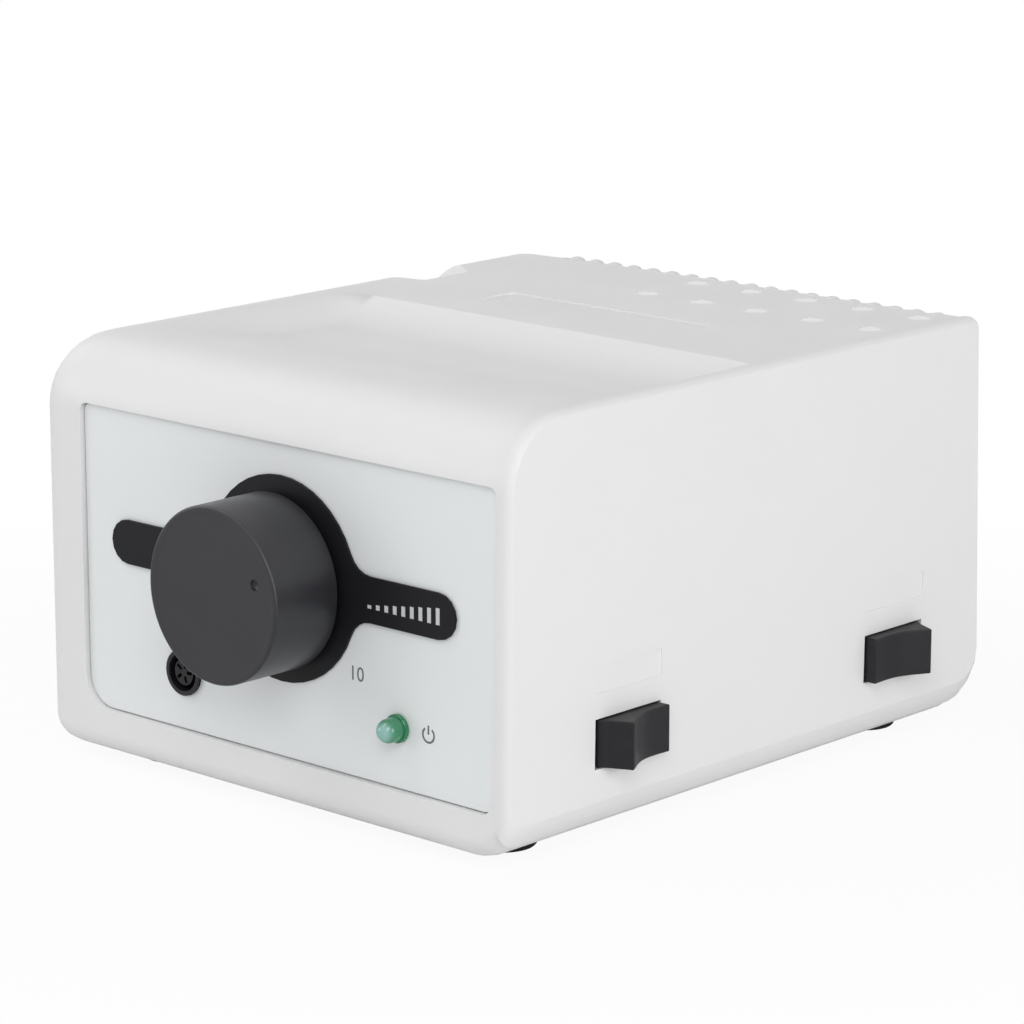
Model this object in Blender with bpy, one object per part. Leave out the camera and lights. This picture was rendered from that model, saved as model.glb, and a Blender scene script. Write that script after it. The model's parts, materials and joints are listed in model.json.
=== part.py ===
"""Control box of a dental laboratory micromotor, as an assembly of separate pieces.

Metres, +Z up. Seen from the front, +X runs to the right and +Y to the back. The housing's
front plane is y = 0 and the table is z = 0. At the end the whole box is centred over the origin.
"""

import math

import bmesh
import bpy
from mathutils import Matrix, Vector

MM = 0.001

# Fits shared by all pieces
CLEARANCE = 0.3 * MM
RUNNING_CLEARANCE = 0.15 * MM
OVERRUN = 2.0 * MM
MERGE_DISTANCE = 0.0005 * MM

# Housing, outside sizes
BODY_WIDTH = 141.0 * MM
BODY_DEPTH = 151.6 * MM
BODY_HEIGHT = 89.6 * MM
STAND_HEIGHT = 2.5 * MM
SIDE_LEAN = 1.1 * MM
BACK_LEAN = 4.4 * MM
FRONT_TOP_RADIUS = 14.5 * MM
FRONT_BOTTOM_RADIUS = 5.0 * MM
BACK_TOP_RADIUS = 2.5 * MM
BACK_TOP_LEFT_RADIUS = 6.5 * MM
BACK_TOP_BLEND = 26.0 * MM
BACK_BOTTOM_RADIUS = 7.2 * MM
LEFT_RADIUS = 12.4 * MM
LEFT_TOP_RADIUS = 15.0 * MM
LEFT_BOTTOM_RADIUS = 11.5 * MM
RIGHT_EDGE_RADIUS = 1.9 * MM
RIGHT_BOTTOM_RADIUS = 11.4 * MM
LEAST_CORNER_RADIUS = 1.2 * MM
WALL = 2.5 * MM
FRONT_WALL = 4.5 * MM

# Tool tray, deck and notch in the top
TRAY_DEPTH = 5.0 * MM
TRAY_FLAT = 14.0 * MM
TRAY_SIDE_RUN = 12.0 * MM
DECK_EDGE_FROM_BACK = 70.1 * MM
DECK_EDGE_X = -2.0 * MM
DECK_EDGE_BOW = 4.2 * MM
DECK_EDGE_BOW_RUN = 60.0 * MM
RAMP_RUN = 13.0 * MM
NOTCH_FROM_BACK = 26.0 * MM
NOTCH_BACK_SLOPE = 9.9 * MM
NOTCH_FLOOR = 14.8 * MM
NOTCH_FRONT_SLOPE = 2.0 * MM
NOTCH_RISE = 8.0 * MM
NOTCH_FRONT_RADIUS = 2.0 * MM
NOTCH_BACK_RADIUS = 4.0 * MM
NOTCH_RUN = 21.2 * MM
NOTCH_SLOPE = 0.68
NOTCH_PAD_SKIN = 1.2 * MM
NOTCH_PAD_PAST = 4.0 * MM
PLAQUE_LENGTH = 58.4 * MM
PLAQUE_WIDTH = 11.5 * MM
PLAQUE_SINK = 0.4 * MM
PLAQUE_FROM_RIGHT = 65.7 * MM
PLAQUE_FROM_BACK = 53.6 * MM
PLAQUE_CORNER = 2.0 * MM
DIMPLE_RADIUS = 2.65 * MM
DIMPLE_SINK = 0.4 * MM
DIMPLE_PITCH = 15.65 * MM
DIMPLE_FIRST_FROM_RIGHT = 9.0 * MM
DIMPLE_ROWS_FROM_BACK = (28.8 * MM, 11.4 * MM)
DIMPLES_PER_ROW = 5
VENT_PITCH = 5.84 * MM
VENT_WIDTH = 2.9 * MM
VENT_REACH = 3.0 * MM
VENT_LENGTH = 22.0 * MM
VENT_FIRST_FROM_RIGHT = 11.9 * MM
VENT_LAST_FROM_LEFT = 23.5 * MM

# Right side cover
COVER_THICKNESS = 2.9 * MM
COVER_PROUD = 0.35 * MM
HOOK_LENGTH = 14.0 * MM
HOOK_THICKNESS = 2.2 * MM
HOOK_REACH = 7.0 * MM
HOOK_INSET = 26.0 * MM
LABEL_LENGTH = 20.2 * MM
LABEL_HEIGHT = 5.6 * MM
LABEL_SINK = 0.25 * MM
LABEL_ABOVE_OPENING = 5.3 * MM
LABEL_CORNER = 0.8 * MM

# Front panel and the black badge round the knob
PANEL_SINK = 1.2 * MM
PANEL_THICKNESS = 1.0 * MM
PANEL_LEFT_MARGIN = 17.3 * MM
PANEL_RIGHT_MARGIN = 3.55 * MM
PANEL_BOTTOM_MARGIN = 10.1 * MM
PANEL_TOP_MARGIN = 13.2 * MM
PANEL_TAPER = 1.55 * MM
PANEL_TOP_CORNER = 1.8 * MM
PANEL_RIGHT_CORNER = 3.0 * MM
PANEL_LEFT_CORNER = 7.0 * MM
BADGE_THICKNESS = 0.6 * MM
BADGE_RADIUS = 21.6 * MM
BADGE_ARM_HEIGHT = 9.6 * MM
BADGE_RIGHT_MARGIN = 11.45 * MM
BADGE_LEFT_MARGIN = 8.9 * MM
BADGE_FILLET = 6.0 * MM

# Speed knob and its potentiometer
KNOB_OFF_PANEL_MIDDLE = 0.275 * MM
KNOB_FROM_TOP = 41.5 * MM
KNOB_RADIUS = 18.4 * MM
KNOB_LENGTH = 17.4 * MM
KNOB_LIFT = 2.4 * MM
KNOB_EDGE = 0.6 * MM
KNOB_HOLLOW_RADIUS = 14.0 * MM
KNOB_HOLLOW_DEPTH = 7.0 * MM
KNOB_BORE_DEPTH = 14.0 * MM
POINTER_RADIUS = 1.1 * MM
POINTER_DEPTH = 0.9 * MM
POINTER_FROM_AXIS = 13.0 * MM
POINTER_ANGLE = math.radians(19.5)
GRUB_RADIUS = 1.5 * MM
GRUB_LENGTH = 8.0 * MM
GRUB_FROM_FACE = 6.4 * MM
SHAFT_RADIUS = 3.0 * MM
BUSHING_RADIUS = 4.4 * MM
BUSHING_PAST_NUT = 1.1 * MM
POT_RADIUS = 11.5 * MM
POT_DEPTH = 11.0 * MM
POT_NUT_FLATS = 11.0 * MM
POT_NUT_THICKNESS = 2.0 * MM
POT_WASHER_RADIUS = 6.6 * MM
POT_WASHER_THICKNESS = 0.5 * MM

# Handpiece socket, low on the left of the panel
SOCKET_FROM_LEFT = 47.3 * MM
SOCKET_HEIGHT = 22.7 * MM
SOCKET_FLANGE_RADIUS = 5.0 * MM
SOCKET_FLANGE = 0.7 * MM
SOCKET_BARREL_RADIUS = 4.6 * MM
SOCKET_BORE_RADIUS = 4.0 * MM
SOCKET_LENGTH = 17.0 * MM
SOCKET_GAP_DEPTH = 7.0 * MM
SOCKET_CORE_RADIUS = 2.8 * MM
SOCKET_CORE_SINK = 0.5 * MM
SOCKET_BASE_THICKNESS = 4.0 * MM
SOCKET_SLOTS = 5
SOCKET_SLOT_LENGTH = 1.5 * MM
SOCKET_SLOT_WIDTH = 0.7 * MM
SOCKET_SLOT_RING_RADIUS = 1.65 * MM
SOCKET_SLOT_DEPTH = 3.0 * MM
SOCKET_NUT_FLATS = 13.0 * MM
SOCKET_NUT_THICKNESS = 2.5 * MM

# Green power light
LIGHT_FROM_RIGHT = 31.2 * MM
LIGHT_HEIGHT = 23.0 * MM
LIGHT_RADIUS = 2.5 * MM
LIGHT_FLANGE_RADIUS = 2.95 * MM
LIGHT_FLANGE = 1.0 * MM
LIGHT_REACH = 5.4 * MM
LIGHT_STEM_RADIUS = 2.1 * MM
LIGHT_STEM_BEHIND_WALL = 2.0 * MM
LAMP_RADIUS = 1.5 * MM
LAMP_LENGTH = 5.0 * MM
LAMP_HOLDER_RADIUS = 4.2 * MM
LAMP_HOLDER_LENGTH = 7.0 * MM

# Rocker switches in the right side
ROCKER_OPENING_HEIGHT = 10.5 * MM
ROCKER_HEIGHT_OFF_BODY = 20.35 * MM
FRONT_ROCKER_FROM_FRONT = 35.1 * MM
REAR_ROCKER_FROM_BACK = 29.9 * MM
ROCKER_TILT = math.radians(13.3)
ROCKER_PIVOT_SINK = 4.1 * MM
ROCKER_VALLEY_REACH = 3.2 * MM
ROCKER_CREST_REACH = 4.9 * MM
ROCKER_CREST_FROM_MIDDLE = 7.7 * MM
ROCKER_SHOULDER_FROM_MIDDLE = 8.7 * MM
ROCKER_SKIRT_SWEEP = math.radians(17.0)
ROCKER_WAIST = 6.0 * MM
ROCKER_WAIST_DROP = 2.0 * MM
ROCKER_NOSE = 1.6 * MM
ROCKER_NOSE_DROP = 4.6 * MM
ROCKER_PIN_RADIUS = 1.0 * MM
SWITCH_WALL = 1.2 * MM
SWITCH_FLOOR = 9.0 * MM
SWITCH_RAIL_THICKNESS = 1.6 * MM
SWITCH_RAIL_DEPTH = 9.0 * MM
TAB_LENGTH = 6.3 * MM
TAB_WIDTH = 4.8 * MM
TAB_THICKNESS = 0.8 * MM
TAB_PITCH = 7.0 * MM
TAB_COUNT = 3

# Feet and their screws
FOOT_RADIUS = 7.0 * MM
FOOT_TAPER = 0.3 * MM
FOOT_FROM_RIGHT = 19.4 * MM
FOOT_FROM_LEFT = 28.0 * MM
FOOT_FROM_FRONT = 18.7 * MM
LEFT_FOOT_FROM_FRONT = 16.0 * MM
FOOT_FROM_BACK = 15.3 * MM
FOOT_COUNTERBORE_RADIUS = 3.6 * MM
FOOT_COUNTERBORE_DEPTH = 1.4 * MM
SCREW_RADIUS = 1.45 * MM
SCREW_HEAD_RADIUS = 3.0 * MM
SCREW_HEAD_HEIGHT = 1.0 * MM
SCREW_RECESS_DEPTH = 0.6 * MM
SCREW_RECESS_WIDTH = 0.7 * MM
SCREW_HOLE_RADIUS = 1.75 * MM
SCREW_PAST_PLATE = 1.5 * MM

# Chassis plate, which slides in through the open right side
CHASSIS_THICKNESS = 1.6 * MM
CHASSIS_MARGIN = 10.0 * MM
CHASSIS_CORNER = 4.0 * MM

# Mains transformer
CORE_WIDTH = 50.0 * MM
CORE_HEIGHT = 42.0 * MM
CORE_STACK = 20.0 * MM
CORE_LEG = 8.0 * MM
CORE_MIDDLE_LEG = 17.0 * MM
CORE_YOKE = 8.0 * MM
COIL_STACK = 36.0 * MM
COIL_SIDE_GAP = 1.0 * MM
COIL_CORNER = 3.0 * MM
TRANSFORMER_FROM_BACK = 63.6 * MM
TRANSFORMER_PLACE_SHARE = 37 / 67
STRAP_THICKNESS = 1.2 * MM
STRAP_FOOT = 8.5 * MM
STRAP_WIDTH = 16.0 * MM

# Circuit board and what it carries
BOARD_WIDTH = 46.0 * MM
BOARD_LENGTH = 84.0 * MM
BOARD_THICKNESS = 1.6 * MM
BOARD_EDGE_FROM_RIGHT = 25.5 * MM
BOARD_FROM_BACK = 71.6 * MM
BOARD_CORNER = 1.5 * MM
BOARD_HOLE_INSET = 4.0 * MM
STANDOFF_HEIGHT = 7.0 * MM
STANDOFF_RADIUS = 2.8 * MM
STANDOFF_HOLE_DEPTH = 5.5 * MM
BOARD_SCREW_LENGTH = 6.0 * MM
CAPACITOR_RADIUS = 8.0 * MM
CAPACITOR_HEIGHT = 26.0 * MM
CAPACITOR_EDGE = 1.0 * MM
CAPACITOR_FROM_MIDDLE = 11.0 * MM
CAPACITOR_ROW_FROM_BOARD_FRONT = 16.0 * MM
RECTIFIER_WIDTH = 20.0 * MM
RECTIFIER_THICKNESS = 4.0 * MM
RECTIFIER_HEIGHT = 15.0 * MM
RECTIFIER_FROM_BOARD_FRONT = 32.0 * MM
SINK_WIDTH = 34.0 * MM
SINK_BASE = 3.0 * MM
SINK_FIN = 12.0 * MM
SINK_FIN_THICKNESS = 1.6 * MM
SINK_FIN_COUNT = 6
SINK_HEIGHT = 30.0 * MM
SINK_FROM_BOARD_FRONT = 52.0 * MM
TRANSISTOR_WIDTH = 10.0 * MM
TRANSISTOR_BODY_HEIGHT = 9.0 * MM
TRANSISTOR_TAB_HEIGHT = 6.0 * MM
TRANSISTOR_THICKNESS = 4.4 * MM
TRANSISTOR_TAB_THICKNESS = 1.3 * MM
TRANSISTOR_LEG = 3.0 * MM
RELAY_WIDTH = 15.0 * MM
RELAY_LENGTH = 19.0 * MM
RELAY_HEIGHT = 15.5 * MM
RELAY_FROM_BOARD_FRONT = 75.5 * MM
RELAY_EDGE = 0.8 * MM

# Back wall: mains inlet, fuse holder and foot control jack
REAR_ROW_HEIGHT = 27.0 * MM
INLET_FROM_LEFT = 34.5 * MM
INLET_FLANGE_WIDTH = 31.0 * MM
INLET_FLANGE_HEIGHT = 24.0 * MM
INLET_FLANGE = 1.5 * MM
INLET_BODY_WIDTH = 27.6 * MM
INLET_BODY_HEIGHT = 19.6 * MM
INLET_BODY_DEPTH = 19.0 * MM
INLET_MOUTH_WIDTH = 24.4 * MM
INLET_MOUTH_HEIGHT = 16.4 * MM
INLET_MOUTH_DEPTH = 15.0 * MM
INLET_KEY_CORNER = 5.0 * MM
INLET_CORNER = 1.0 * MM
PIN_SINK = 2.0 * MM
PIN_WIDTH = 2.0 * MM
PIN_HEIGHT = 4.0 * MM
PIN_SPACING = 7.0 * MM
PIN_RAISE = 2.0 * MM
PIN_TAIL = 6.0 * MM
FUSE_FROM_INLET = 29.0 * MM
FUSE_FLANGE_RADIUS = 7.5 * MM
FUSE_FLANGE = 2.0 * MM
FUSE_BODY_RADIUS = 6.0 * MM
FUSE_BODY_LENGTH = 28.0 * MM
FUSE_BORE_RADIUS = 3.6 * MM
FUSE_BORE_DEPTH = 26.0 * MM
FUSE_CAP_RADIUS = 6.2 * MM
FUSE_CAP_LENGTH = 6.0 * MM
FUSE_CAP_PLUG_RADIUS = 3.2 * MM
FUSE_CAP_PLUG = 4.0 * MM
FUSE_CAP_SLOT_WIDTH = 1.2 * MM
FUSE_CAP_SLOT_DEPTH = 1.5 * MM
FUSE_TUBE_RADIUS = 2.6 * MM
FUSE_TUBE_LENGTH = 20.0 * MM
JACK_FROM_FUSE = 25.0 * MM
JACK_FLANGE_RADIUS = 6.5 * MM
JACK_FLANGE = 2.2 * MM
JACK_BARREL_RADIUS = 4.8 * MM
JACK_BORE_RADIUS = 3.3 * MM
JACK_BORE_DEPTH = 26.0 * MM
JACK_BODY_SIDE = 13.0 * MM
JACK_BODY_DEPTH = 24.0 * MM

# Facets of round shapes
LARGE_ROUND_SIDES = 48
MEDIUM_ROUND_SIDES = 28
MODEST_ROUND_SIDES = 20
SMALL_ROUND_SIDES = 16
ARC_STEPS = 8
SHORT_ARC_STEPS = 4
HEX_SIDES = 6

# Places worked out from the sizes above
LEFT_X = -BODY_WIDTH / 2
RIGHT_X = BODY_WIDTH / 2
BODY_TOP = STAND_HEIGHT + BODY_HEIGHT
BODY_MIDDLE_Z = STAND_HEIGHT + BODY_HEIGHT / 2
SPLIT_X = RIGHT_X - COVER_THICKNESS
FLOOR_Z = STAND_HEIGHT + WALL
PANEL_FACE = PANEL_SINK
BADGE_FACE = PANEL_FACE - RUNNING_CLEARANCE - BADGE_THICKNESS
WASHER_FACE = BADGE_FACE - RUNNING_CLEARANCE - POT_WASHER_THICKNESS
NUT_FACE = WASHER_FACE - RUNNING_CLEARANCE - POT_NUT_THICKNESS
PANEL_LEFT = LEFT_X + PANEL_LEFT_MARGIN
PANEL_RIGHT = RIGHT_X - PANEL_RIGHT_MARGIN
KNOB_X = (PANEL_LEFT + PANEL_RIGHT) / 2 - KNOB_OFF_PANEL_MIDDLE
KNOB_Z = BODY_TOP - KNOB_FROM_TOP
BADGE_RIGHT_REACH = PANEL_RIGHT - BADGE_RIGHT_MARGIN - KNOB_X
BADGE_LEFT_REACH = KNOB_X - PANEL_LEFT - BADGE_LEFT_MARGIN
SOCKET_X = LEFT_X + SOCKET_FROM_LEFT
LIGHT_X = RIGHT_X - LIGHT_FROM_RIGHT
KNOB_BACK = PANEL_FACE - KNOB_LIFT
KNOB_FACE = KNOB_BACK - KNOB_LENGTH
DECK_EDGE = BODY_DEPTH - DECK_EDGE_FROM_BACK
TRAY_FALL_RUN = DECK_EDGE - RAMP_RUN - TRAY_FLAT - FRONT_TOP_RADIUS
NOTCH_BACK = BODY_DEPTH - NOTCH_FROM_BACK
NOTCH_FLOOR_BACK = NOTCH_BACK - NOTCH_BACK_SLOPE
NOTCH_FLOOR_FRONT = NOTCH_FLOOR_BACK - NOTCH_FLOOR
NOTCH_FRONT = NOTCH_FLOOR_FRONT - NOTCH_FRONT_SLOPE
REAR_ROCKER_FROM_FRONT = BODY_DEPTH - REAR_ROCKER_FROM_BACK
CHASSIS_Z = FLOOR_Z + CLEARANCE
CHASSIS_TOP = CHASSIS_Z + CHASSIS_THICKNESS
BOARD_Z = CHASSIS_TOP + CLEARANCE + STANDOFF_HEIGHT + CLEARANCE
BOARD_TOP = BOARD_Z + BOARD_THICKNESS
BOARD_X = RIGHT_X - BOARD_EDGE_FROM_RIGHT - BOARD_WIDTH / 2
BOARD_Y = BODY_DEPTH - BOARD_FROM_BACK
BOARD_LEFT = BOARD_X - BOARD_WIDTH / 2
TRANSFORMER_X = LEFT_X + WALL + (BOARD_LEFT - LEFT_X - WALL) * TRANSFORMER_PLACE_SHARE
TRANSFORMER_Y = BODY_DEPTH - TRANSFORMER_FROM_BACK
INLET_X = LEFT_X + INLET_FROM_LEFT
FUSE_X = INLET_X + FUSE_FROM_INLET
JACK_X = FUSE_X + JACK_FROM_FUSE
ROCKER_Z = STAND_HEIGHT + ROCKER_HEIGHT_OFF_BODY
ROCKER_SHOULDER_RADIUS = math.hypot(ROCKER_SHOULDER_FROM_MIDDLE, ROCKER_PIVOT_SINK)
ROCKER_OPENING_HALF = ROCKER_SHOULDER_RADIUS + CLEARANCE
BACK_ANGLE = math.atan2(BACK_LEAN, BODY_HEIGHT)
NOTCH_TILT = math.atan(NOTCH_SLOPE)


def material(name, colour, roughness, metallic=0.0, alpha=1.0):
    """A Principled material with one piece's colour, roughness and metallic value."""
    made = bpy.data.materials.get(name) or bpy.data.materials.new(name)
    made.use_nodes = True
    shader = made.node_tree.nodes["Principled BSDF"]
    shader.inputs["Base Color"].default_value = (*colour, 1.0)
    shader.inputs["Roughness"].default_value = roughness
    shader.inputs["Metallic"].default_value = metallic
    shader.inputs["Alpha"].default_value = alpha
    return made


def make_materials():
    """Every finish on the box, by a short name."""
    return {
        "white_abs": material("white_abs", (0.80, 0.80, 0.80), 0.42),
        "panel_print": material("panel_print", (0.66, 0.69, 0.69), 0.35),
        "black_label": material("black_label", (0.016, 0.016, 0.018), 0.4),
        "knob_black": material("knob_black", (0.06, 0.06, 0.066), 0.55),
        "black_plastic": material("black_plastic", (0.02, 0.02, 0.021), 0.45),
        "green_lens": material("green_lens", (0.10, 0.42, 0.28), 0.15, alpha=0.8),
        "rubber": material("rubber", (0.012, 0.012, 0.012), 0.8),
        "steel": material("steel", (0.55, 0.55, 0.56), 0.35, 1.0),
        "zinc_steel": material("zinc_steel", (0.62, 0.63, 0.64), 0.4, 1.0),
        "core_steel": material("core_steel", (0.20, 0.20, 0.21), 0.5, 0.8),
        "copper_tape": material("copper_tape", (0.75, 0.55, 0.10), 0.5),
        "aluminium": material("aluminium", (0.70, 0.71, 0.72), 0.4, 1.0),
        "board_green": material("board_green", (0.03, 0.20, 0.08), 0.45),
        "capacitor_sleeve": material("capacitor_sleeve", (0.02, 0.03, 0.12), 0.35),
        "brass": material("brass", (0.72, 0.56, 0.25), 0.3, 1.0),
        "glass": material("glass", (0.85, 0.88, 0.88), 0.05, alpha=0.4),
    }


def add_empty(name, parent=None, location=(0, 0, 0), rotation=(0, 0, 0)):
    """A joint or assembly frame, which carries pieces but has no solid of its own."""
    empty = bpy.data.objects.new(name, None)
    bpy.context.scene.collection.objects.link(empty)
    empty.parent = parent
    empty.location = location
    empty.rotation_euler = rotation
    return empty


def add_piece(name, shape, finish, parent, location=(0, 0, 0), rotation=(0, 0, 0)):
    """Turns a bmesh into a named, smooth-shaded object under its parent."""
    bmesh.ops.recalc_face_normals(shape, faces=shape.faces)
    mesh = bpy.data.meshes.new(name)
    shape.to_mesh(mesh)
    shape.free()
    mesh.shade_smooth()
    mesh.set_sharp_from_angle(angle=math.radians(32))
    if finish:
        mesh.materials.append(finish)
    piece = bpy.data.objects.new(name, mesh)
    bpy.context.scene.collection.objects.link(piece)
    piece.parent = parent
    piece.location = location
    piece.rotation_euler = rotation
    return piece


def shape_with(piece, operation, label, shape, location=(0, 0, 0), rotation=(0, 0, 0)):
    """Cuts or joins a hidden helper shape, placed beside the piece in its parent's frame."""
    helper = add_piece(f"{piece.name}_{label}", shape, None, piece.parent, location, rotation)
    helper.hide_render = True
    helper.display_type = "WIRE"
    boolean = piece.modifiers.new(label, "BOOLEAN")
    boolean.operation = operation
    boolean.object = helper
    return helper


def cut(piece, label, shape, location=(0, 0, 0), rotation=(0, 0, 0)):
    """Takes a helper shape out of the piece."""
    return shape_with(piece, "DIFFERENCE", label, shape, location, rotation)


def join(piece, label, shape, location=(0, 0, 0), rotation=(0, 0, 0)):
    """Adds a helper shape to the piece, as one body."""
    return shape_with(piece, "UNION", label, shape, location, rotation)


def box(low, high):
    """A box between two corners."""
    shape = bmesh.new()
    bmesh.ops.create_cube(shape, size=1)
    low, high = Vector(low), Vector(high)
    size = high - low
    bmesh.ops.scale(shape, vec=size, verts=shape.verts)
    bmesh.ops.translate(shape, vec=(low + high) / 2, verts=shape.verts)
    return shape


def rod(radius, start, end, segments, axis="Z"):
    """A cylinder on an axis through the origin, from start to end along it."""
    shape = bmesh.new()
    bmesh.ops.create_cone(
        shape, cap_ends=True, segments=segments, radius1=radius, radius2=radius, depth=abs(end - start)
    )
    bmesh.ops.translate(shape, vec=(0, 0, (start + end) / 2), verts=shape.verts)
    bmesh.ops.transform(shape, matrix=axis_turn(axis), verts=shape.verts)
    return shape


def axis_turn(axis):
    """The turn that lays +Z along the named axis."""
    if axis == "X":
        return Matrix.Rotation(math.pi / 2, 4, "Y")
    if axis == "Y":
        return Matrix.Rotation(-math.pi / 2, 4, "X")
    return Matrix.Identity(4)


def merge(shapes):
    """Several separate shapes as one bmesh, for a cutter that cuts in many places."""
    whole = bmesh.new()
    for shape in shapes:
        mesh = bpy.data.meshes.new("merge")
        shape.to_mesh(mesh)
        shape.free()
        whole.from_mesh(mesh)
        bpy.data.meshes.remove(mesh)
    return whole


def moved(shape, offset):
    """The same shape, moved."""
    bmesh.ops.translate(shape, vec=offset, verts=shape.verts)
    return shape


def turned(profile, segments, axis="Z"):
    """Spins a profile of (radius, height) points about an axis.

    A profile that starts and ends on the axis makes a solid piece, and any other is closed on
    itself, which leaves a bore.
    """
    shape = bmesh.new()
    points = [shape.verts.new((radius, 0, height)) for radius, height in profile]
    edges = [shape.edges.new(pair) for pair in zip(points, points[1:])]
    if profile[0][0] or profile[-1][0]:
        edges.append(shape.edges.new((points[-1], points[0])))
    bmesh.ops.spin(
        shape,
        geom=points + edges,
        cent=(0, 0, 0),
        axis=(0, 0, 1),
        angle=2 * math.pi,
        steps=segments,
        use_merge=True,
        use_duplicate=False,
    )
    bmesh.ops.remove_doubles(shape, verts=shape.verts, dist=MERGE_DISTANCE)
    bmesh.ops.transform(shape, matrix=axis_turn(axis), verts=shape.verts)
    return shape


def rounded_outline(corners, radii, steps):
    """The corners of a polygon, each one replaced by an arc of its own radius."""
    outline = []
    for i, corner in enumerate(corners):
        here = Vector(corner)
        back = (Vector(corners[i - 1]) - here).normalized()
        ahead = (Vector(corners[(i + 1) % len(corners)]) - here).normalized()
        half = back.angle(ahead) / 2
        centre = here + (back + ahead).normalized() * (radii[i] / math.sin(half))
        start = here + back * (radii[i] / math.tan(half)) - centre
        turn = math.pi - 2 * half
        sign = -1 if back.x * ahead.y - back.y * ahead.x > 0 else 1
        for k in range(steps[i] + 1):
            angle = sign * turn * k / steps[i]
            arm = Vector(
                (
                    start.x * math.cos(angle) - start.y * math.sin(angle),
                    start.x * math.sin(angle) + start.y * math.cos(angle),
                )
            )
            outline.append(tuple(centre + arm))
    return outline


def rounded_rectangle(width, height, radius, steps=SHORT_ARC_STEPS):
    """A rectangle about the origin with four equal round corners."""
    x, y = width / 2, height / 2
    corners = [(-x, -y), (x, -y), (x, y), (-x, y)]
    return rounded_outline(corners, [radius] * 4, [steps] * 4)


def prism(outline, start, end, axis="Z"):
    """An outline pushed from start to end along an axis.

    The outline's two numbers are (y, z) along X, (x, z) along Y and (x, y) along Z.
    """
    places = {
        "X": lambda a, b: (start, a, b),
        "Y": lambda a, b: (a, start, b),
        "Z": lambda a, b: (a, b, start),
    }
    pushes = {"X": (end - start, 0, 0), "Y": (0, end - start, 0), "Z": (0, 0, end - start)}
    shape = bmesh.new()
    face = shape.faces.new([shape.verts.new(places[axis](a, b)) for a, b in outline])
    pushed = bmesh.ops.extrude_face_region(shape, geom=[face], use_keep_orig=True)
    corners = [item for item in pushed["geom"] if isinstance(item, bmesh.types.BMVert)]
    bmesh.ops.translate(shape, vec=pushes[axis], verts=corners)
    return shape


def ease_edges(shape, width, segments=2):
    """Rounds every edge of a boxy shape."""
    bmesh.ops.bevel(
        shape, geom=list(shape.edges), offset=width, segments=segments, profile=0.5, affect="EDGES"
    )
    return shape


def round_in(gap, radius):
    """How far a rounded end has drawn in, at a distance from that end."""
    if gap >= radius:
        return 0.0
    gap = max(gap, 0.0)
    return radius - math.sqrt(radius * radius - (radius - gap) ** 2)


def back_y(z):
    """The outer face of the leaning back wall at a height."""
    return BODY_DEPTH + BACK_LEAN * (BODY_MIDDLE_Z - z) / BODY_HEIGHT


def right_face_x(z):
    """The outer face of the leaning right side at a height."""
    return RIGHT_X + SIDE_LEAN * (z - BODY_MIDDLE_Z) / BODY_HEIGHT


def smooth(share):
    """Eases from 0 to 1."""
    share = min(max(share, 0.0), 1.0)
    return share * share * (3 - 2 * share)


def tray_depth(x, y, front):
    """How far the tray lies below the top, x and y in the housing's own frame."""
    across = smooth((x - LEFT_X - LEFT_TOP_RADIUS) / TRAY_SIDE_RUN)
    fall = smooth((y - front) / TRAY_FALL_RUN)
    climb = min(max((y - deck_edge(x) + RAMP_RUN) / RAMP_RUN, 0.0), 1.0)
    return TRAY_DEPTH * across * fall * (1 - climb * climb)


def back_top_radius(x):
    """The radius along the back top edge, which grows towards the left end."""
    share = smooth((LEFT_X + LEFT_TOP_RADIUS + BACK_TOP_BLEND - x) / BACK_TOP_BLEND)
    return BACK_TOP_RADIUS + (BACK_TOP_LEFT_RADIUS - BACK_TOP_RADIUS) * share


def deck_edge(x):
    """Where the tray's ramp meets the deck: a line bowed towards the front at both ends."""
    share = (x - DECK_EDGE_X) / DECK_EDGE_BOW_RUN
    return DECK_EDGE - DECK_EDGE_BOW * share * share


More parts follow.
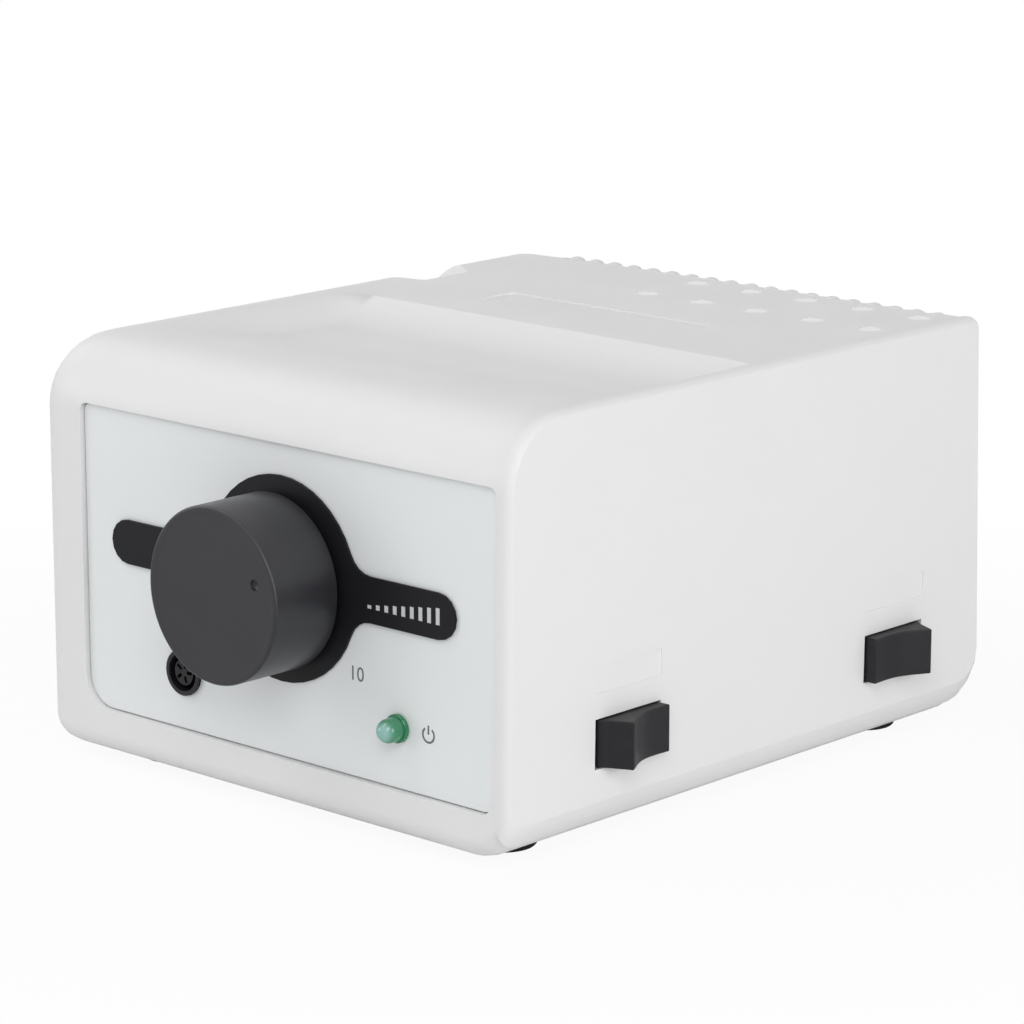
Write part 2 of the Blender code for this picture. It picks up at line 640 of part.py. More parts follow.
def section(x, front_skin, skin, tray):
    """The (y, z) ring of the body at a station x, a skin's thickness inside its outer face.

    A negative skin stands outside it. All rings have the same number of points.
    """
    left_gap = x - LEFT_X - skin
    right_gap = RIGHT_X - x - skin
    front = front_skin + max(
        round_in(left_gap, LEFT_RADIUS - skin), round_in(right_gap, RIGHT_EDGE_RADIUS - skin)
    )
    back = skin + max(
        round_in(left_gap, LEFT_RADIUS - skin), round_in(right_gap, RIGHT_EDGE_RADIUS - skin)
    )
    top = skin + max(
        round_in(left_gap, LEFT_TOP_RADIUS - skin), round_in(right_gap, RIGHT_EDGE_RADIUS - skin)
    )
    bottom = skin + max(
        round_in(left_gap, LEFT_BOTTOM_RADIUS - skin),
        round_in(right_gap, RIGHT_BOTTOM_RADIUS - skin),
    )
    low, high = STAND_HEIGHT + bottom, BODY_TOP - top
    corners = [(front, low), (front, high), (back_y(high) - back, high), (back_y(low) - back, low)]
    draws = [min(front, bottom), min(front, top), min(back, top), min(back, bottom)]
    full = [FRONT_BOTTOM_RADIUS, FRONT_TOP_RADIUS, back_top_radius(x), BACK_BOTTOM_RADIUS]
    radii = [max(radius - draw, LEAST_CORNER_RADIUS) for radius, draw in zip(full, draws)]
    steps = [SHORT_ARC_STEPS, ARC_STEPS, SHORT_ARC_STEPS, SHORT_ARC_STEPS]
    ring = rounded_outline(corners, radii, steps)
    crest = SHORT_ARC_STEPS + ARC_STEPS + 2
    start = ring[crest - 1][0]
    across = [start + TRAY_FALL_RUN * k / ARC_STEPS for k in range(1, ARC_STEPS + 1)]
    foot = deck_edge(x) - RAMP_RUN
    across += [foot + RAMP_RUN * k / SHORT_ARC_STEPS for k in range(SHORT_ARC_STEPS + 1)]
    depth = [tray_depth(x, y, FRONT_TOP_RADIUS) if tray else 0.0 for y in across]
    return ring[:crest] + [(y, high - d) for y, d in zip(across, depth)] + ring[crest:]


def lofted(stations):
    """Skins the rings of (x, ring) stations into one closed tube and leans its right side."""
    shape = bmesh.new()
    rows = [[shape.verts.new((x, y, z)) for y, z in ring] for x, ring in stations]
    count = len(rows[0])
    for row, following in zip(rows, rows[1:]):
        for k in range(count):
            shape.faces.new((row[k - 1], row[k], following[k], following[k - 1]))
    shape.faces.new(rows[0])
    shape.faces.new(rows[-1])
    for vert in shape.verts:
        share = (vert.co.x - LEFT_X) / BODY_WIDTH
        vert.co.x += SIDE_LEAN * share * (vert.co.z - BODY_MIDDLE_Z) / BODY_HEIGHT
    return shape


def end_stations(radius, steps):
    """Distances from an end that step evenly round its radius, the end first."""
    return [radius * (1 - math.cos(math.pi / 2 * k / steps)) for k in range(steps + 1)]


def housing_stations(skin):
    """The x stations of the housing, from the left wall to the parting plane."""
    stations = [LEFT_X + skin + gap for gap in end_stations(LEFT_TOP_RADIUS - skin, ARC_STEPS)]
    start = LEFT_X + LEFT_TOP_RADIUS
    stations += [start + TRAY_SIDE_RUN * k / ARC_STEPS for k in range(1, ARC_STEPS + 1)]
    stop = SPLIT_X - CLEARANCE
    bend = RIGHT_X - RIGHT_BOTTOM_RADIUS
    stations += [bend + (stop - bend) * k / SHORT_ARC_STEPS for k in range(SHORT_ARC_STEPS + 1)]
    return stations


def housing_shell():
    """Front, top, left, back and floor in one moulding, open to the right."""
    outside = [(x, section(x, 0.0, 0.0, True)) for x in housing_stations(0.0)]
    inside = [(x, section(x, FRONT_WALL, WALL, True)) for x in housing_stations(WALL)]
    return lofted(outside + inside[::-1])


def panel_outline(margin):
    """The front panel's outline in (x, z), drawn in by a margin."""
    left, right = PANEL_LEFT + margin, PANEL_RIGHT - margin
    low = STAND_HEIGHT + PANEL_BOTTOM_MARGIN + margin
    high = BODY_TOP - PANEL_TOP_MARGIN - margin
    corners = [(left, low), (right - PANEL_TAPER, low), (right, high), (left, high)]
    radii = [PANEL_LEFT_CORNER, PANEL_RIGHT_CORNER, PANEL_TOP_CORNER, PANEL_TOP_CORNER]
    radii = [radius - margin for radius in radii]
    return rounded_outline(corners, radii, [ARC_STEPS] + [SHORT_ARC_STEPS] * 3)


def front_holes(radius_gap, start, end):
    """The three round holes for the bushing, the socket and the light, through the front."""
    holes = (
        (KNOB_X, KNOB_Z, BUSHING_RADIUS),
        (SOCKET_X, STAND_HEIGHT + SOCKET_HEIGHT, SOCKET_BARREL_RADIUS),
        (LIGHT_X, STAND_HEIGHT + LIGHT_HEIGHT, LIGHT_STEM_RADIUS),
    )
    return merge(
        moved(rod(radius + radius_gap, start, end, MEDIUM_ROUND_SIDES, "Y"), (x, 0, z))
        for x, z, radius in holes
    )


def vent_cutter():
    """The comb of slots over the back top edge."""
    start = back_y(BODY_TOP) - VENT_REACH
    end = back_y(STAND_HEIGHT) + OVERRUN
    half = VENT_WIDTH / 2
    slots = []
    span = BODY_WIDTH - VENT_FIRST_FROM_RIGHT - VENT_LAST_FROM_LEFT
    for k in range(int(span / VENT_PITCH) + 1):
        x = RIGHT_X - VENT_FIRST_FROM_RIGHT - VENT_PITCH * k
        corners = [(x - half, start), (x + half, start), (x + half, end), (x - half, end)]
        front_corner = half * 0.98
        radii = [front_corner, front_corner, CLEARANCE, CLEARANCE]
        outline = rounded_outline(corners, radii, [SHORT_ARC_STEPS, SHORT_ARC_STEPS, 1, 1])
        slots.append(prism(outline, BODY_TOP - VENT_LENGTH, BODY_TOP + OVERRUN))
    return merge(slots)


def dimple_cutter():
    """Two rows of shallow round dimples in the deck."""
    return merge(
        moved(
            rod(DIMPLE_RADIUS, BODY_TOP - DIMPLE_SINK, BODY_TOP + OVERRUN, SMALL_ROUND_SIDES),
            (RIGHT_X - DIMPLE_FIRST_FROM_RIGHT - DIMPLE_PITCH * k, BODY_DEPTH - row, 0),
        )
        for row in DIMPLE_ROWS_FROM_BACK
        for k in range(DIMPLES_PER_ROW)
    )


def notch_pad():
    """A thicker corner under the notch, so that the notch leaves a full wall below it."""
    reach = LEFT_TOP_RADIUS - NOTCH_PAD_SKIN
    centre_x, centre_z = LEFT_X + LEFT_TOP_RADIUS, BODY_TOP - LEFT_TOP_RADIUS
    near_x, far_x = LEFT_X + NOTCH_PAD_SKIN, LEFT_X + NOTCH_RUN + OVERRUN
    under = BODY_TOP - WALL / math.cos(NOTCH_TILT)
    start_x = LEFT_X + NOTCH_RUN
    outline = [(x, under + NOTCH_SLOPE * (x - start_x)) for x in (near_x, far_x)]
    outline.append((far_x, BODY_TOP - NOTCH_PAD_SKIN))
    for k in range(ARC_STEPS + 1):
        angle = math.pi / 2 * (1 + k / ARC_STEPS)
        outline.append((centre_x + reach * math.cos(angle), centre_z + reach * math.sin(angle)))
    return prism(outline, NOTCH_FRONT - NOTCH_PAD_PAST, NOTCH_BACK + NOTCH_PAD_PAST, "Y")


def add_notch(piece):
    """A scoop over the left top edge: a steep wall in front and an easy slope behind."""
    join(piece, "notch_pad", notch_pad())
    corners = [
        (NOTCH_FRONT, NOTCH_RISE),
        (NOTCH_FLOOR_FRONT, 0),
        (NOTCH_FLOOR_BACK, 0),
        (NOTCH_BACK, NOTCH_RISE),
    ]
    radii = [CLEARANCE, NOTCH_FRONT_RADIUS, NOTCH_BACK_RADIUS, CLEARANCE]
    outline = rounded_outline(corners, radii, [1, SHORT_ARC_STEPS, SHORT_ARC_STEPS, 1])
    scoop = prism(outline, -NOTCH_RUN * 1.5, NOTCH_RUN / 4, "X")
    cut(piece, "notch", scoop, (LEFT_X + NOTCH_RUN, 0, BODY_TOP), (0, -NOTCH_TILT, 0))


def add_housing(root, finish):
    """The white housing with its panel recess, holes, vents, notch and floor screw holes."""
    piece = add_piece("main_housing", housing_shell(), finish, root)
    floor = PANEL_FACE + PANEL_THICKNESS + CLEARANCE
    cut(piece, "panel_recess", prism(panel_outline(0.0), -OVERRUN, floor, "Y"))
    cut(piece, "front_holes", front_holes(CLEARANCE, -OVERRUN, FRONT_WALL + OVERRUN))
    cut(piece, "vents", vent_cutter())
    cut(piece, "dimples", dimple_cutter())
    plaque = prism(
        rounded_rectangle(PLAQUE_LENGTH, PLAQUE_WIDTH, PLAQUE_CORNER),
        BODY_TOP - PLAQUE_SINK,
        BODY_TOP + OVERRUN,
    )
    cut(piece, "plaque", plaque, (RIGHT_X - PLAQUE_FROM_RIGHT, BODY_DEPTH - PLAQUE_FROM_BACK, 0))
    add_notch(piece)
    screws = merge(
        moved(
            rod(SCREW_HOLE_RADIUS, STAND_HEIGHT - OVERRUN, FLOOR_Z + OVERRUN, SMALL_ROUND_SIDES), (x, y, 0)
        )
        for _, x, y in foot_places()
    )
    cut(piece, "foot_screw_holes", screws)
    return piece


def rocker_places():
    """(name, y, tilt at rest) of the two rockers. The front one stands out at its front end."""
    return (
        ("front", FRONT_ROCKER_FROM_FRONT, ROCKER_TILT),
        ("rear", REAR_ROCKER_FROM_FRONT, -ROCKER_TILT),
    )


def add_side_cover(root, finish):
    """The flat right side with two rocker openings, label recesses, switch rails and hooks."""
    flat = RIGHT_X - RIGHT_EDGE_RADIUS
    stations = [SPLIT_X, flat]
    stations += [
        RIGHT_X - gap for gap in reversed(end_stations(RIGHT_EDGE_RADIUS, SHORT_ARC_STEPS)[:-1])
    ]
    rings = [(x, section(x, -COVER_PROUD, -COVER_PROUD, False)) for x in stations]
    piece = add_piece("right_side_cover", lofted(rings), finish, root)
    face = right_face_x(ROCKER_Z)
    inner = face - COVER_THICKNESS
    for name, y, _ in rocker_places():
        low = (inner - OVERRUN, y - ROCKER_OPENING_HALF, ROCKER_Z - ROCKER_OPENING_HEIGHT / 2)
        high = (face + OVERRUN, y + ROCKER_OPENING_HALF, ROCKER_Z + ROCKER_OPENING_HEIGHT / 2)
        cut(piece, f"{name}_opening", box(low, high))
        label_z = high[2] + LABEL_ABOVE_OPENING + LABEL_HEIGHT / 2
        label = prism(
            rounded_rectangle(LABEL_LENGTH, LABEL_HEIGHT, LABEL_CORNER),
            right_face_x(label_z) - LABEL_SINK,
            face + OVERRUN,
            "X",
        )
        cut(piece, f"{name}_label", label, (0, y, label_z))
        add_switch_rails(piece, name, y)
    add_cover_hooks(piece)
    return piece


def add_switch_rails(piece, name, y):
    """Two ribs inside the cover that hold a switch body between them."""
    half = ROCKER_OPENING_HALF + SWITCH_WALL
    gap = switch_half_height() + CLEARANCE
    outer = right_face_x(ROCKER_Z) - COVER_THICKNESS / 2
    inner = outer - COVER_THICKNESS / 2 - SWITCH_RAIL_DEPTH
    upper = box(
        (inner, y - half, ROCKER_Z + gap), (outer, y + half, ROCKER_Z + gap + SWITCH_RAIL_THICKNESS)
    )
    lower = box(
        (inner, y - half, ROCKER_Z - gap - SWITCH_RAIL_THICKNESS), (outer, y + half, ROCKER_Z - gap)
    )
    join(piece, f"{name}_upper_rail", upper)
    join(piece, f"{name}_lower_rail", lower)


def add_cover_hooks(piece):
    """Four tongues that reach into the housing along its front and back walls."""
    outer = SPLIT_X + COVER_THICKNESS / 2
    inner = SPLIT_X - HOOK_REACH
    for level, z in (("low", STAND_HEIGHT + HOOK_INSET), ("high", BODY_TOP - HOOK_INSET)):
        front = FRONT_WALL + CLEARANCE
        back = back_y(z + HOOK_LENGTH / 2) - WALL - CLEARANCE
        for side, start, end in (
            ("front", front, front + HOOK_THICKNESS),
            ("back", back - HOOK_THICKNESS, back),
        ):
            shape = box(
                (inner, start, z - HOOK_LENGTH / 2), (outer, end, z + HOOK_LENGTH / 2)
            )
            join(piece, f"{side}_{level}_hook", shape)


def add_front_panel(root, finish):
    """The printed plate let into the front, with its three holes."""
    outline = panel_outline(CLEARANCE)
    shape = prism(outline, PANEL_FACE, PANEL_FACE + PANEL_THICKNESS, "Y")
    piece = add_piece("front_panel", shape, finish, root)
    cut(piece, "holes", front_holes(CLEARANCE, -OVERRUN, FRONT_WALL))
    return piece


def badge_outline():
    """A disc with two round-ended arms and hollow fillets where they meet it, in (x, z)."""
    half = BADGE_ARM_HEIGHT / 2
    root_x = math.sqrt((BADGE_RADIUS + BADGE_FILLET) ** 2 - (half + BADGE_FILLET) ** 2)
    touch = math.atan2(half + BADGE_FILLET, root_x)
    outline = []
    for reach, turn in ((BADGE_RIGHT_REACH, 0.0), (BADGE_LEFT_REACH, math.pi)):
        for k in range(ARC_STEPS + 1):
            angle = turn - math.pi / 2 + math.pi * k / ARC_STEPS
            centre = (reach - half) * math.cos(turn)
            outline.append((centre + half * math.cos(angle), half * math.sin(angle)))
        side = math.cos(turn)
        for k in range(SHORT_ARC_STEPS + 1):
            angle = -math.pi / 2 - (math.pi / 2 - touch) * k / SHORT_ARC_STEPS
            x = root_x + BADGE_FILLET * math.cos(angle)
            z = half + BADGE_FILLET + BADGE_FILLET * math.sin(angle)
            outline.append((side * x, side * z))
        sweep = math.pi - 2 * touch
        for k in range(1, 2 * ARC_STEPS):
            angle = turn + touch + sweep * k / (2 * ARC_STEPS)
            outline.append((BADGE_RADIUS * math.cos(angle), BADGE_RADIUS * math.sin(angle)))
        for k in range(SHORT_ARC_STEPS + 1):
            angle = -touch - (math.pi / 2 - touch) * k / SHORT_ARC_STEPS
            x = -root_x + BADGE_FILLET * math.cos(angle)
            z = half + BADGE_FILLET + BADGE_FILLET * math.sin(angle)
            outline.append((side * x, side * z))
    return outline


def add_badge(root, finish):
    """The black badge on the panel behind the knob."""
    shape = prism(badge_outline(), BADGE_FACE, BADGE_FACE + BADGE_THICKNESS, "Y")
    piece = add_piece("knob_badge", shape, finish, root, (KNOB_X, 0, KNOB_Z))
    hole = rod(BUSHING_RADIUS + CLEARANCE, -OVERRUN, PANEL_FACE + OVERRUN, MEDIUM_ROUND_SIDES, "Y")
    cut(piece, "hole", hole, (KNOB_X, 0, KNOB_Z))
    return piece


def add_knob(axis, finishes):
    """The speed knob, its grub screw and the shaft that turn together, on the knob's axis."""
    back, face = KNOB_BACK, KNOB_FACE
    bore = SHAFT_RADIUS + RUNNING_CLEARANCE
    floor = back - KNOB_HOLLOW_DEPTH
    profile = [
        (0, face),
        (KNOB_RADIUS - KNOB_EDGE, face),
        (KNOB_RADIUS, face + KNOB_EDGE),
        (KNOB_RADIUS, back),
        (KNOB_HOLLOW_RADIUS, back),
        (KNOB_HOLLOW_RADIUS, floor),
        (bore, floor),
        (bore, back - KNOB_BORE_DEPTH),
        (0, back - KNOB_BORE_DEPTH),
    ]
    knob = add_piece("speed_knob", turned(profile, LARGE_ROUND_SIDES, "Y"), finishes["knob_black"], axis)
    x = POINTER_FROM_AXIS * math.cos(POINTER_ANGLE)
    z = POINTER_FROM_AXIS * math.sin(POINTER_ANGLE)
    cone = [
        (0, face + POINTER_DEPTH),
        (POINTER_RADIUS, face),
        (POINTER_RADIUS, face - OVERRUN),
        (0, face - OVERRUN),
    ]
    cut(knob, "pointer", turned(cone, SMALL_ROUND_SIDES, "Y"), (x, 0, z))
    grub_y = face + GRUB_FROM_FACE
    channel = rod(GRUB_RADIUS + RUNNING_CLEARANCE, 0, -KNOB_RADIUS - OVERRUN, SMALL_ROUND_SIDES)
    cut(knob, "grub_channel", channel, (0, grub_y, 0))
    top = -SHAFT_RADIUS - RUNNING_CLEARANCE
    grub = rod(GRUB_RADIUS, top - GRUB_LENGTH, top, SMALL_ROUND_SIDES)
    screw = add_piece("knob_grub_screw", grub, finishes["steel"], axis, (0, grub_y, 0))
    socket = rod(GRUB_RADIUS / 2, top - GRUB_LENGTH - OVERRUN, top - GRUB_LENGTH * 3 / 4, HEX_SIDES)
    cut(screw, "hex_socket", socket, (0, grub_y, 0))
    end = back - KNOB_BORE_DEPTH + CLEARANCE
    start = FRONT_WALL + CLEARANCE + POT_DEPTH / 2
    shaft = rod(SHAFT_RADIUS, end, start, MEDIUM_ROUND_SIDES, "Y")
    add_piece("potentiometer_shaft", shaft, finishes["steel"], axis)


def hex_nut(name, flats, thickness, bore, face, finish, parent, place):
    """A hexagon nut with a plain bore, its front at face, along Y."""
    corner = flats / 2 / math.cos(math.pi / HEX_SIDES)
    piece = add_piece(name, rod(corner, face, face + thickness, HEX_SIDES, "Y"), finish, parent, place)
    cutter = rod(bore, face - OVERRUN, face + thickness + OVERRUN, MEDIUM_ROUND_SIDES, "Y")
    cut(piece, "bore", cutter, place)
    return piece


def add_potentiometer(root, finishes):
    """The fixed body of the speed control behind the front wall, with its washer and nut."""
    place = (KNOB_X, 0, KNOB_Z)
    back = FRONT_WALL + CLEARANCE
    bore = SHAFT_RADIUS + RUNNING_CLEARANCE
    tip = NUT_FACE - BUSHING_PAST_NUT
    profile = [
        (bore, tip),
        (BUSHING_RADIUS, tip),
        (BUSHING_RADIUS, back),
        (POT_RADIUS, back),
        (POT_RADIUS, back + POT_DEPTH),
        (0, back + POT_DEPTH),
        (0, back + POT_DEPTH / 2 + CLEARANCE),
        (bore, back + POT_DEPTH / 2 + CLEARANCE),
    ]
    shape = turned_cup(profile, MEDIUM_ROUND_SIDES)
    add_piece("potentiometer_body", shape, finishes["zinc_steel"], root, place)
    washer = [
        (BUSHING_RADIUS + RUNNING_CLEARANCE, WASHER_FACE),
        (POT_WASHER_RADIUS, WASHER_FACE),
        (POT_WASHER_RADIUS, WASHER_FACE + POT_WASHER_THICKNESS),
        (BUSHING_RADIUS + RUNNING_CLEARANCE, WASHER_FACE + POT_WASHER_THICKNESS),
    ]
    shape = turned(washer, MEDIUM_ROUND_SIDES, "Y")
    add_piece("potentiometer_washer", shape, finishes["zinc_steel"], root, place)
    hex_nut(
        "potentiometer_nut",
        POT_NUT_FLATS,
        POT_NUT_THICKNESS,
        BUSHING_RADIUS + RUNNING_CLEARANCE,
        NUT_FACE,
        finishes["brass"],
        root,
        place,
    )


def turned_cup(profile, segments, axis="Y"):
    """Spins a profile with a blind bore: its axis points are in the middle of the list."""
    turn = next(i for i, (radius, _) in enumerate(profile) if radius == 0) + 1
    return turned(profile[turn:] + profile[:turn], segments, axis)


def add_motor_socket(root, finishes):
    """The black round socket for the handpiece lead: a ring, a slotted core and a nut."""
    place = (SOCKET_X, 0, STAND_HEIGHT + SOCKET_HEIGHT)
    seat = PANEL_FACE - RUNNING_CLEARANCE
    front = seat - SOCKET_FLANGE
    profile = [
        (SOCKET_BORE_RADIUS, front),
        (SOCKET_FLANGE_RADIUS, front),
        (SOCKET_FLANGE_RADIUS, seat),
        (SOCKET_BARREL_RADIUS, seat),
        (SOCKET_BARREL_RADIUS, front + SOCKET_LENGTH),
        (SOCKET_BORE_RADIUS, front + SOCKET_LENGTH),
    ]
    shape = turned(profile, MEDIUM_ROUND_SIDES, "Y")
    add_piece("motor_socket_shell", shape, finishes["black_plastic"], root, place)
    core_front = front + SOCKET_CORE_SINK
    base = front + SOCKET_GAP_DEPTH
    wide = SOCKET_BORE_RADIUS - RUNNING_CLEARANCE
    core = [
        (0, core_front),
        (SOCKET_CORE_RADIUS, core_front),
        (SOCKET_CORE_RADIUS, base),
        (wide, base),
        (wide, base + SOCKET_BASE_THICKNESS),
        (0, base + SOCKET_BASE_THICKNESS),
    ]
    piece = add_piece(
        "motor_socket_core", turned(core, MEDIUM_ROUND_SIDES, "Y"), finishes["black_plastic"], root, place
    )
    slots = []
    for k in range(SOCKET_SLOTS):
        angle = 2 * math.pi * k / SOCKET_SLOTS
        low = (SOCKET_SLOT_RING_RADIUS - SOCKET_SLOT_LENGTH / 2, -OVERRUN, -SOCKET_SLOT_WIDTH / 2)
        high = (
            SOCKET_SLOT_RING_RADIUS + SOCKET_SLOT_LENGTH / 2,
            core_front + SOCKET_SLOT_DEPTH,
            SOCKET_SLOT_WIDTH / 2,
        )
        slot = box(low, high)
        bmesh.ops.rotate(slot, matrix=Matrix.Rotation(angle, 3, "Y"), verts=slot.verts)
        slots.append(slot)
    cut(piece, "contact_slots", merge(slots), place)
    hex_nut(
        "motor_socket_nut",
        SOCKET_NUT_FLATS,
        SOCKET_NUT_THICKNESS,
        SOCKET_BARREL_RADIUS + RUNNING_CLEARANCE,
        FRONT_WALL + CLEARANCE,
        finishes["zinc_steel"],
        root,
        place,
    )


def add_power_light(root, finishes):
    """The green lens in the panel, with the lamp behind it and the holder round both."""
    place = (LIGHT_X, 0, STAND_HEIGHT + LIGHT_HEIGHT)
    seat = PANEL_FACE - RUNNING_CLEARANCE
    stem_end = FRONT_WALL + LIGHT_STEM_BEHIND_WALL
    dome = seat - LIGHT_REACH + LIGHT_RADIUS
    profile = [(0, stem_end), (LIGHT_STEM_RADIUS, stem_end), (LIGHT_STEM_RADIUS, seat)]
    profile += [
        (LIGHT_FLANGE_RADIUS, seat),
        (LIGHT_FLANGE_RADIUS, seat - LIGHT_FLANGE),
        (LIGHT_RADIUS, seat - LIGHT_FLANGE),
    ]
    for k in range(SHORT_ARC_STEPS):
        angle = math.pi / 2 * k / SHORT_ARC_STEPS
        profile.append((LIGHT_RADIUS * math.cos(angle), dome - LIGHT_RADIUS * math.sin(angle)))
    profile.append((0, dome - LIGHT_RADIUS))
    shape = turned(profile, MODEST_ROUND_SIDES, "Y")
    add_piece("power_light_lens", shape, finishes["green_lens"], root, place)
    start = stem_end + CLEARANCE
    lamp = rod(LAMP_RADIUS, start, start + LAMP_LENGTH, SMALL_ROUND_SIDES, "Y")
    add_piece("power_lamp", lamp, finishes["green_lens"], root, place)
    front = FRONT_WALL + CLEARANCE
    step = start - CLEARANCE / 2
    back = front + LAMP_HOLDER_LENGTH
    holder = [
        (LIGHT_STEM_RADIUS + CLEARANCE, front),
        (LAMP_HOLDER_RADIUS, front),
        (LAMP_HOLDER_RADIUS, back),
        (LAMP_RADIUS + CLEARANCE, back),
        (LAMP_RADIUS + CLEARANCE, step),
        (LIGHT_STEM_RADIUS + CLEARANCE, step),
    ]
    shape = turned(holder, SMALL_ROUND_SIDES, "Y")
    add_piece("lamp_holder", shape, finishes["black_plastic"], root, place)


def rocker_outline():
    """The rocker's side view about its pivot: (y, x) with x outwards, level, not tilted."""
    valley = ROCKER_PIVOT_SINK + ROCKER_VALLEY_REACH
    crest = ROCKER_PIVOT_SINK + ROCKER_CREST_REACH
    shoulder = math.atan2(ROCKER_SHOULDER_FROM_MIDDLE, ROCKER_PIVOT_SINK)
    half = [(0, valley), (ROCKER_CREST_FROM_MIDDLE, crest)]
    for k in range(SHORT_ARC_STEPS + 1):
        angle = shoulder + ROCKER_SKIRT_SWEEP * k / SHORT_ARC_STEPS
        half.append(
            (ROCKER_SHOULDER_RADIUS * math.sin(angle), ROCKER_SHOULDER_RADIUS * math.cos(angle))
        )
    half += [(ROCKER_WAIST, -ROCKER_WAIST_DROP), (ROCKER_NOSE, -ROCKER_NOSE_DROP)]
    return half + [(-y, x) for y, x in reversed(half[1:])]


def switch_half_height():
    """Half the outer height of a switch body."""
    return ROCKER_OPENING_HEIGHT / 2 + SWITCH_WALL


def add_switch(root, name, y, tilt, finishes):
    """One rocker on its pivot frame, the pin that it turns on, and the body behind it."""
    pivot_x = right_face_x(ROCKER_Z) - ROCKER_PIVOT_SINK
    axis = add_empty(f"{name}_rocker_axis", root, (pivot_x, y, ROCKER_Z), (0, 0, tilt))
    half = ROCKER_OPENING_HEIGHT / 2 - CLEARANCE
    outline = [(x, along) for along, x in rocker_outline()]
    rocker = add_piece(
        f"{name}_rocker", prism(outline, -half, half), finishes["black_plastic"], axis
    )
    hole = rod(ROCKER_PIN_RADIUS + RUNNING_CLEARANCE, -half - OVERRUN, half + OVERRUN, SMALL_ROUND_SIDES)
    cut(rocker, "pin_hole", hole)
    length = switch_half_height() - CLEARANCE
    pin = rod(ROCKER_PIN_RADIUS, -length, length, SMALL_ROUND_SIDES)
    add_piece(f"{name}_rocker_pin", pin, finishes["steel"], root, (pivot_x, y, ROCKER_Z))
    add_switch_body(root, name, y, pivot_x, finishes)


def add_switch_body(root, name, y, pivot_x, finishes):
    """The black switch body with a pocket for the rocker and three tabs at its back."""
    front = right_face_x(ROCKER_Z - switch_half_height()) - COVER_THICKNESS - CLEARANCE
    pocket = pivot_x - ROCKER_NOSE_DROP - CLEARANCE * 2
    back = pocket - SWITCH_FLOOR
    long = ROCKER_OPENING_HALF + SWITCH_WALL
    high = switch_half_height()
    shape = box((back, y - long, ROCKER_Z - high), (front, y + long, ROCKER_Z + high))
    piece = add_piece(f"{name}_switch_body", shape, finishes["black_plastic"], root)
    inner = ROCKER_OPENING_HEIGHT / 2
    space = box(
        (pocket, y - ROCKER_OPENING_HALF, ROCKER_Z - inner),
        (front + OVERRUN, y + ROCKER_OPENING_HALF, ROCKER_Z + inner),
    )
    cut(piece, "pocket", space)
    seat = rod(ROCKER_PIN_RADIUS + RUNNING_CLEARANCE, -high - OVERRUN, high + OVERRUN, SMALL_ROUND_SIDES)
    cut(piece, "pin_seat", seat, (pivot_x, y, ROCKER_Z))
    first = -(TAB_COUNT - 1) / 2
    for k in range(TAB_COUNT):
        middle = y + (first + k) * TAB_PITCH
        tab = box(
            (back - TAB_LENGTH, middle - TAB_THICKNESS / 2, ROCKER_Z - TAB_WIDTH / 2),
            (back + SWITCH_WALL, middle + TAB_THICKNESS / 2, ROCKER_Z + TAB_WIDTH / 2),
        )
        join(piece, f"tab_{k + 1}", tab)


def foot_places():
    """(name, x, y) of the four feet."""
    places = []
    rear = BODY_DEPTH - FOOT_FROM_BACK
    for end, left_y, right_y in (
        ("front", LEFT_FOOT_FROM_FRONT, FOOT_FROM_FRONT),
        ("rear", rear, rear),
    ):
        places.append((f"{end}_left", LEFT_X + FOOT_FROM_LEFT, left_y))
        places.append((f"{end}_right", RIGHT_X - FOOT_FROM_RIGHT, right_y))
    return places


def add_screw(name, length, finish, parent, place, turn=0.0):
    """A pan-head screw with a cross recess. Its head's underside is at z = 0, shank upwards."""
    profile = [
        (0, -SCREW_HEAD_HEIGHT),
        (SCREW_HEAD_RADIUS * 2 / 3, -SCREW_HEAD_HEIGHT),
        (SCREW_HEAD_RADIUS, -SCREW_HEAD_HEIGHT / 2),
        (SCREW_HEAD_RADIUS, 0),
        (SCREW_RADIUS, 0),
        (SCREW_RADIUS, length),
        (0, length),
    ]
    rotation = (turn, 0, 0)
    piece = add_piece(name, turned(profile, SMALL_ROUND_SIDES), finish, parent, place, rotation)
    arm = SCREW_HEAD_RADIUS / 2
    half = SCREW_RECESS_WIDTH / 2
    low, high = -SCREW_HEAD_HEIGHT - OVERRUN, -SCREW_HEAD_HEIGHT + SCREW_RECESS_DEPTH
    for label, x, y in (("recess_a", arm, half), ("recess_b", half, arm)):
        cut(piece, label, box((-x, -y, low), (x, y, high)), place, rotation)
    return piece


def add_feet(root, finishes):
    """Four rubber feet, each with a screw up through the floor and the chassis plate."""
    top = STAND_HEIGHT - CLEARANCE
    profile = [
        (SCREW_HOLE_RADIUS, FOOT_COUNTERBORE_DEPTH),
        (FOOT_COUNTERBORE_RADIUS, FOOT_COUNTERBORE_DEPTH),
        (FOOT_COUNTERBORE_RADIUS, 0),
        (FOOT_RADIUS - FOOT_TAPER, 0),
        (FOOT_RADIUS, FOOT_TAPER),
        (FOOT_RADIUS, top),
        (SCREW_HOLE_RADIUS, top),
    ]
    for name, x, y in foot_places():
        shape = turned(profile, MODEST_ROUND_SIDES)
        add_piece(f"{name}_foot", shape, finishes["rubber"], root, (x, y, 0))
        under = FOOT_COUNTERBORE_DEPTH - RUNNING_CLEARANCE
        length = CHASSIS_TOP + SCREW_PAST_PLATE - under
        add_screw(f"{name}_foot_screw", length, finishes["zinc_steel"], root, (x, y, under))


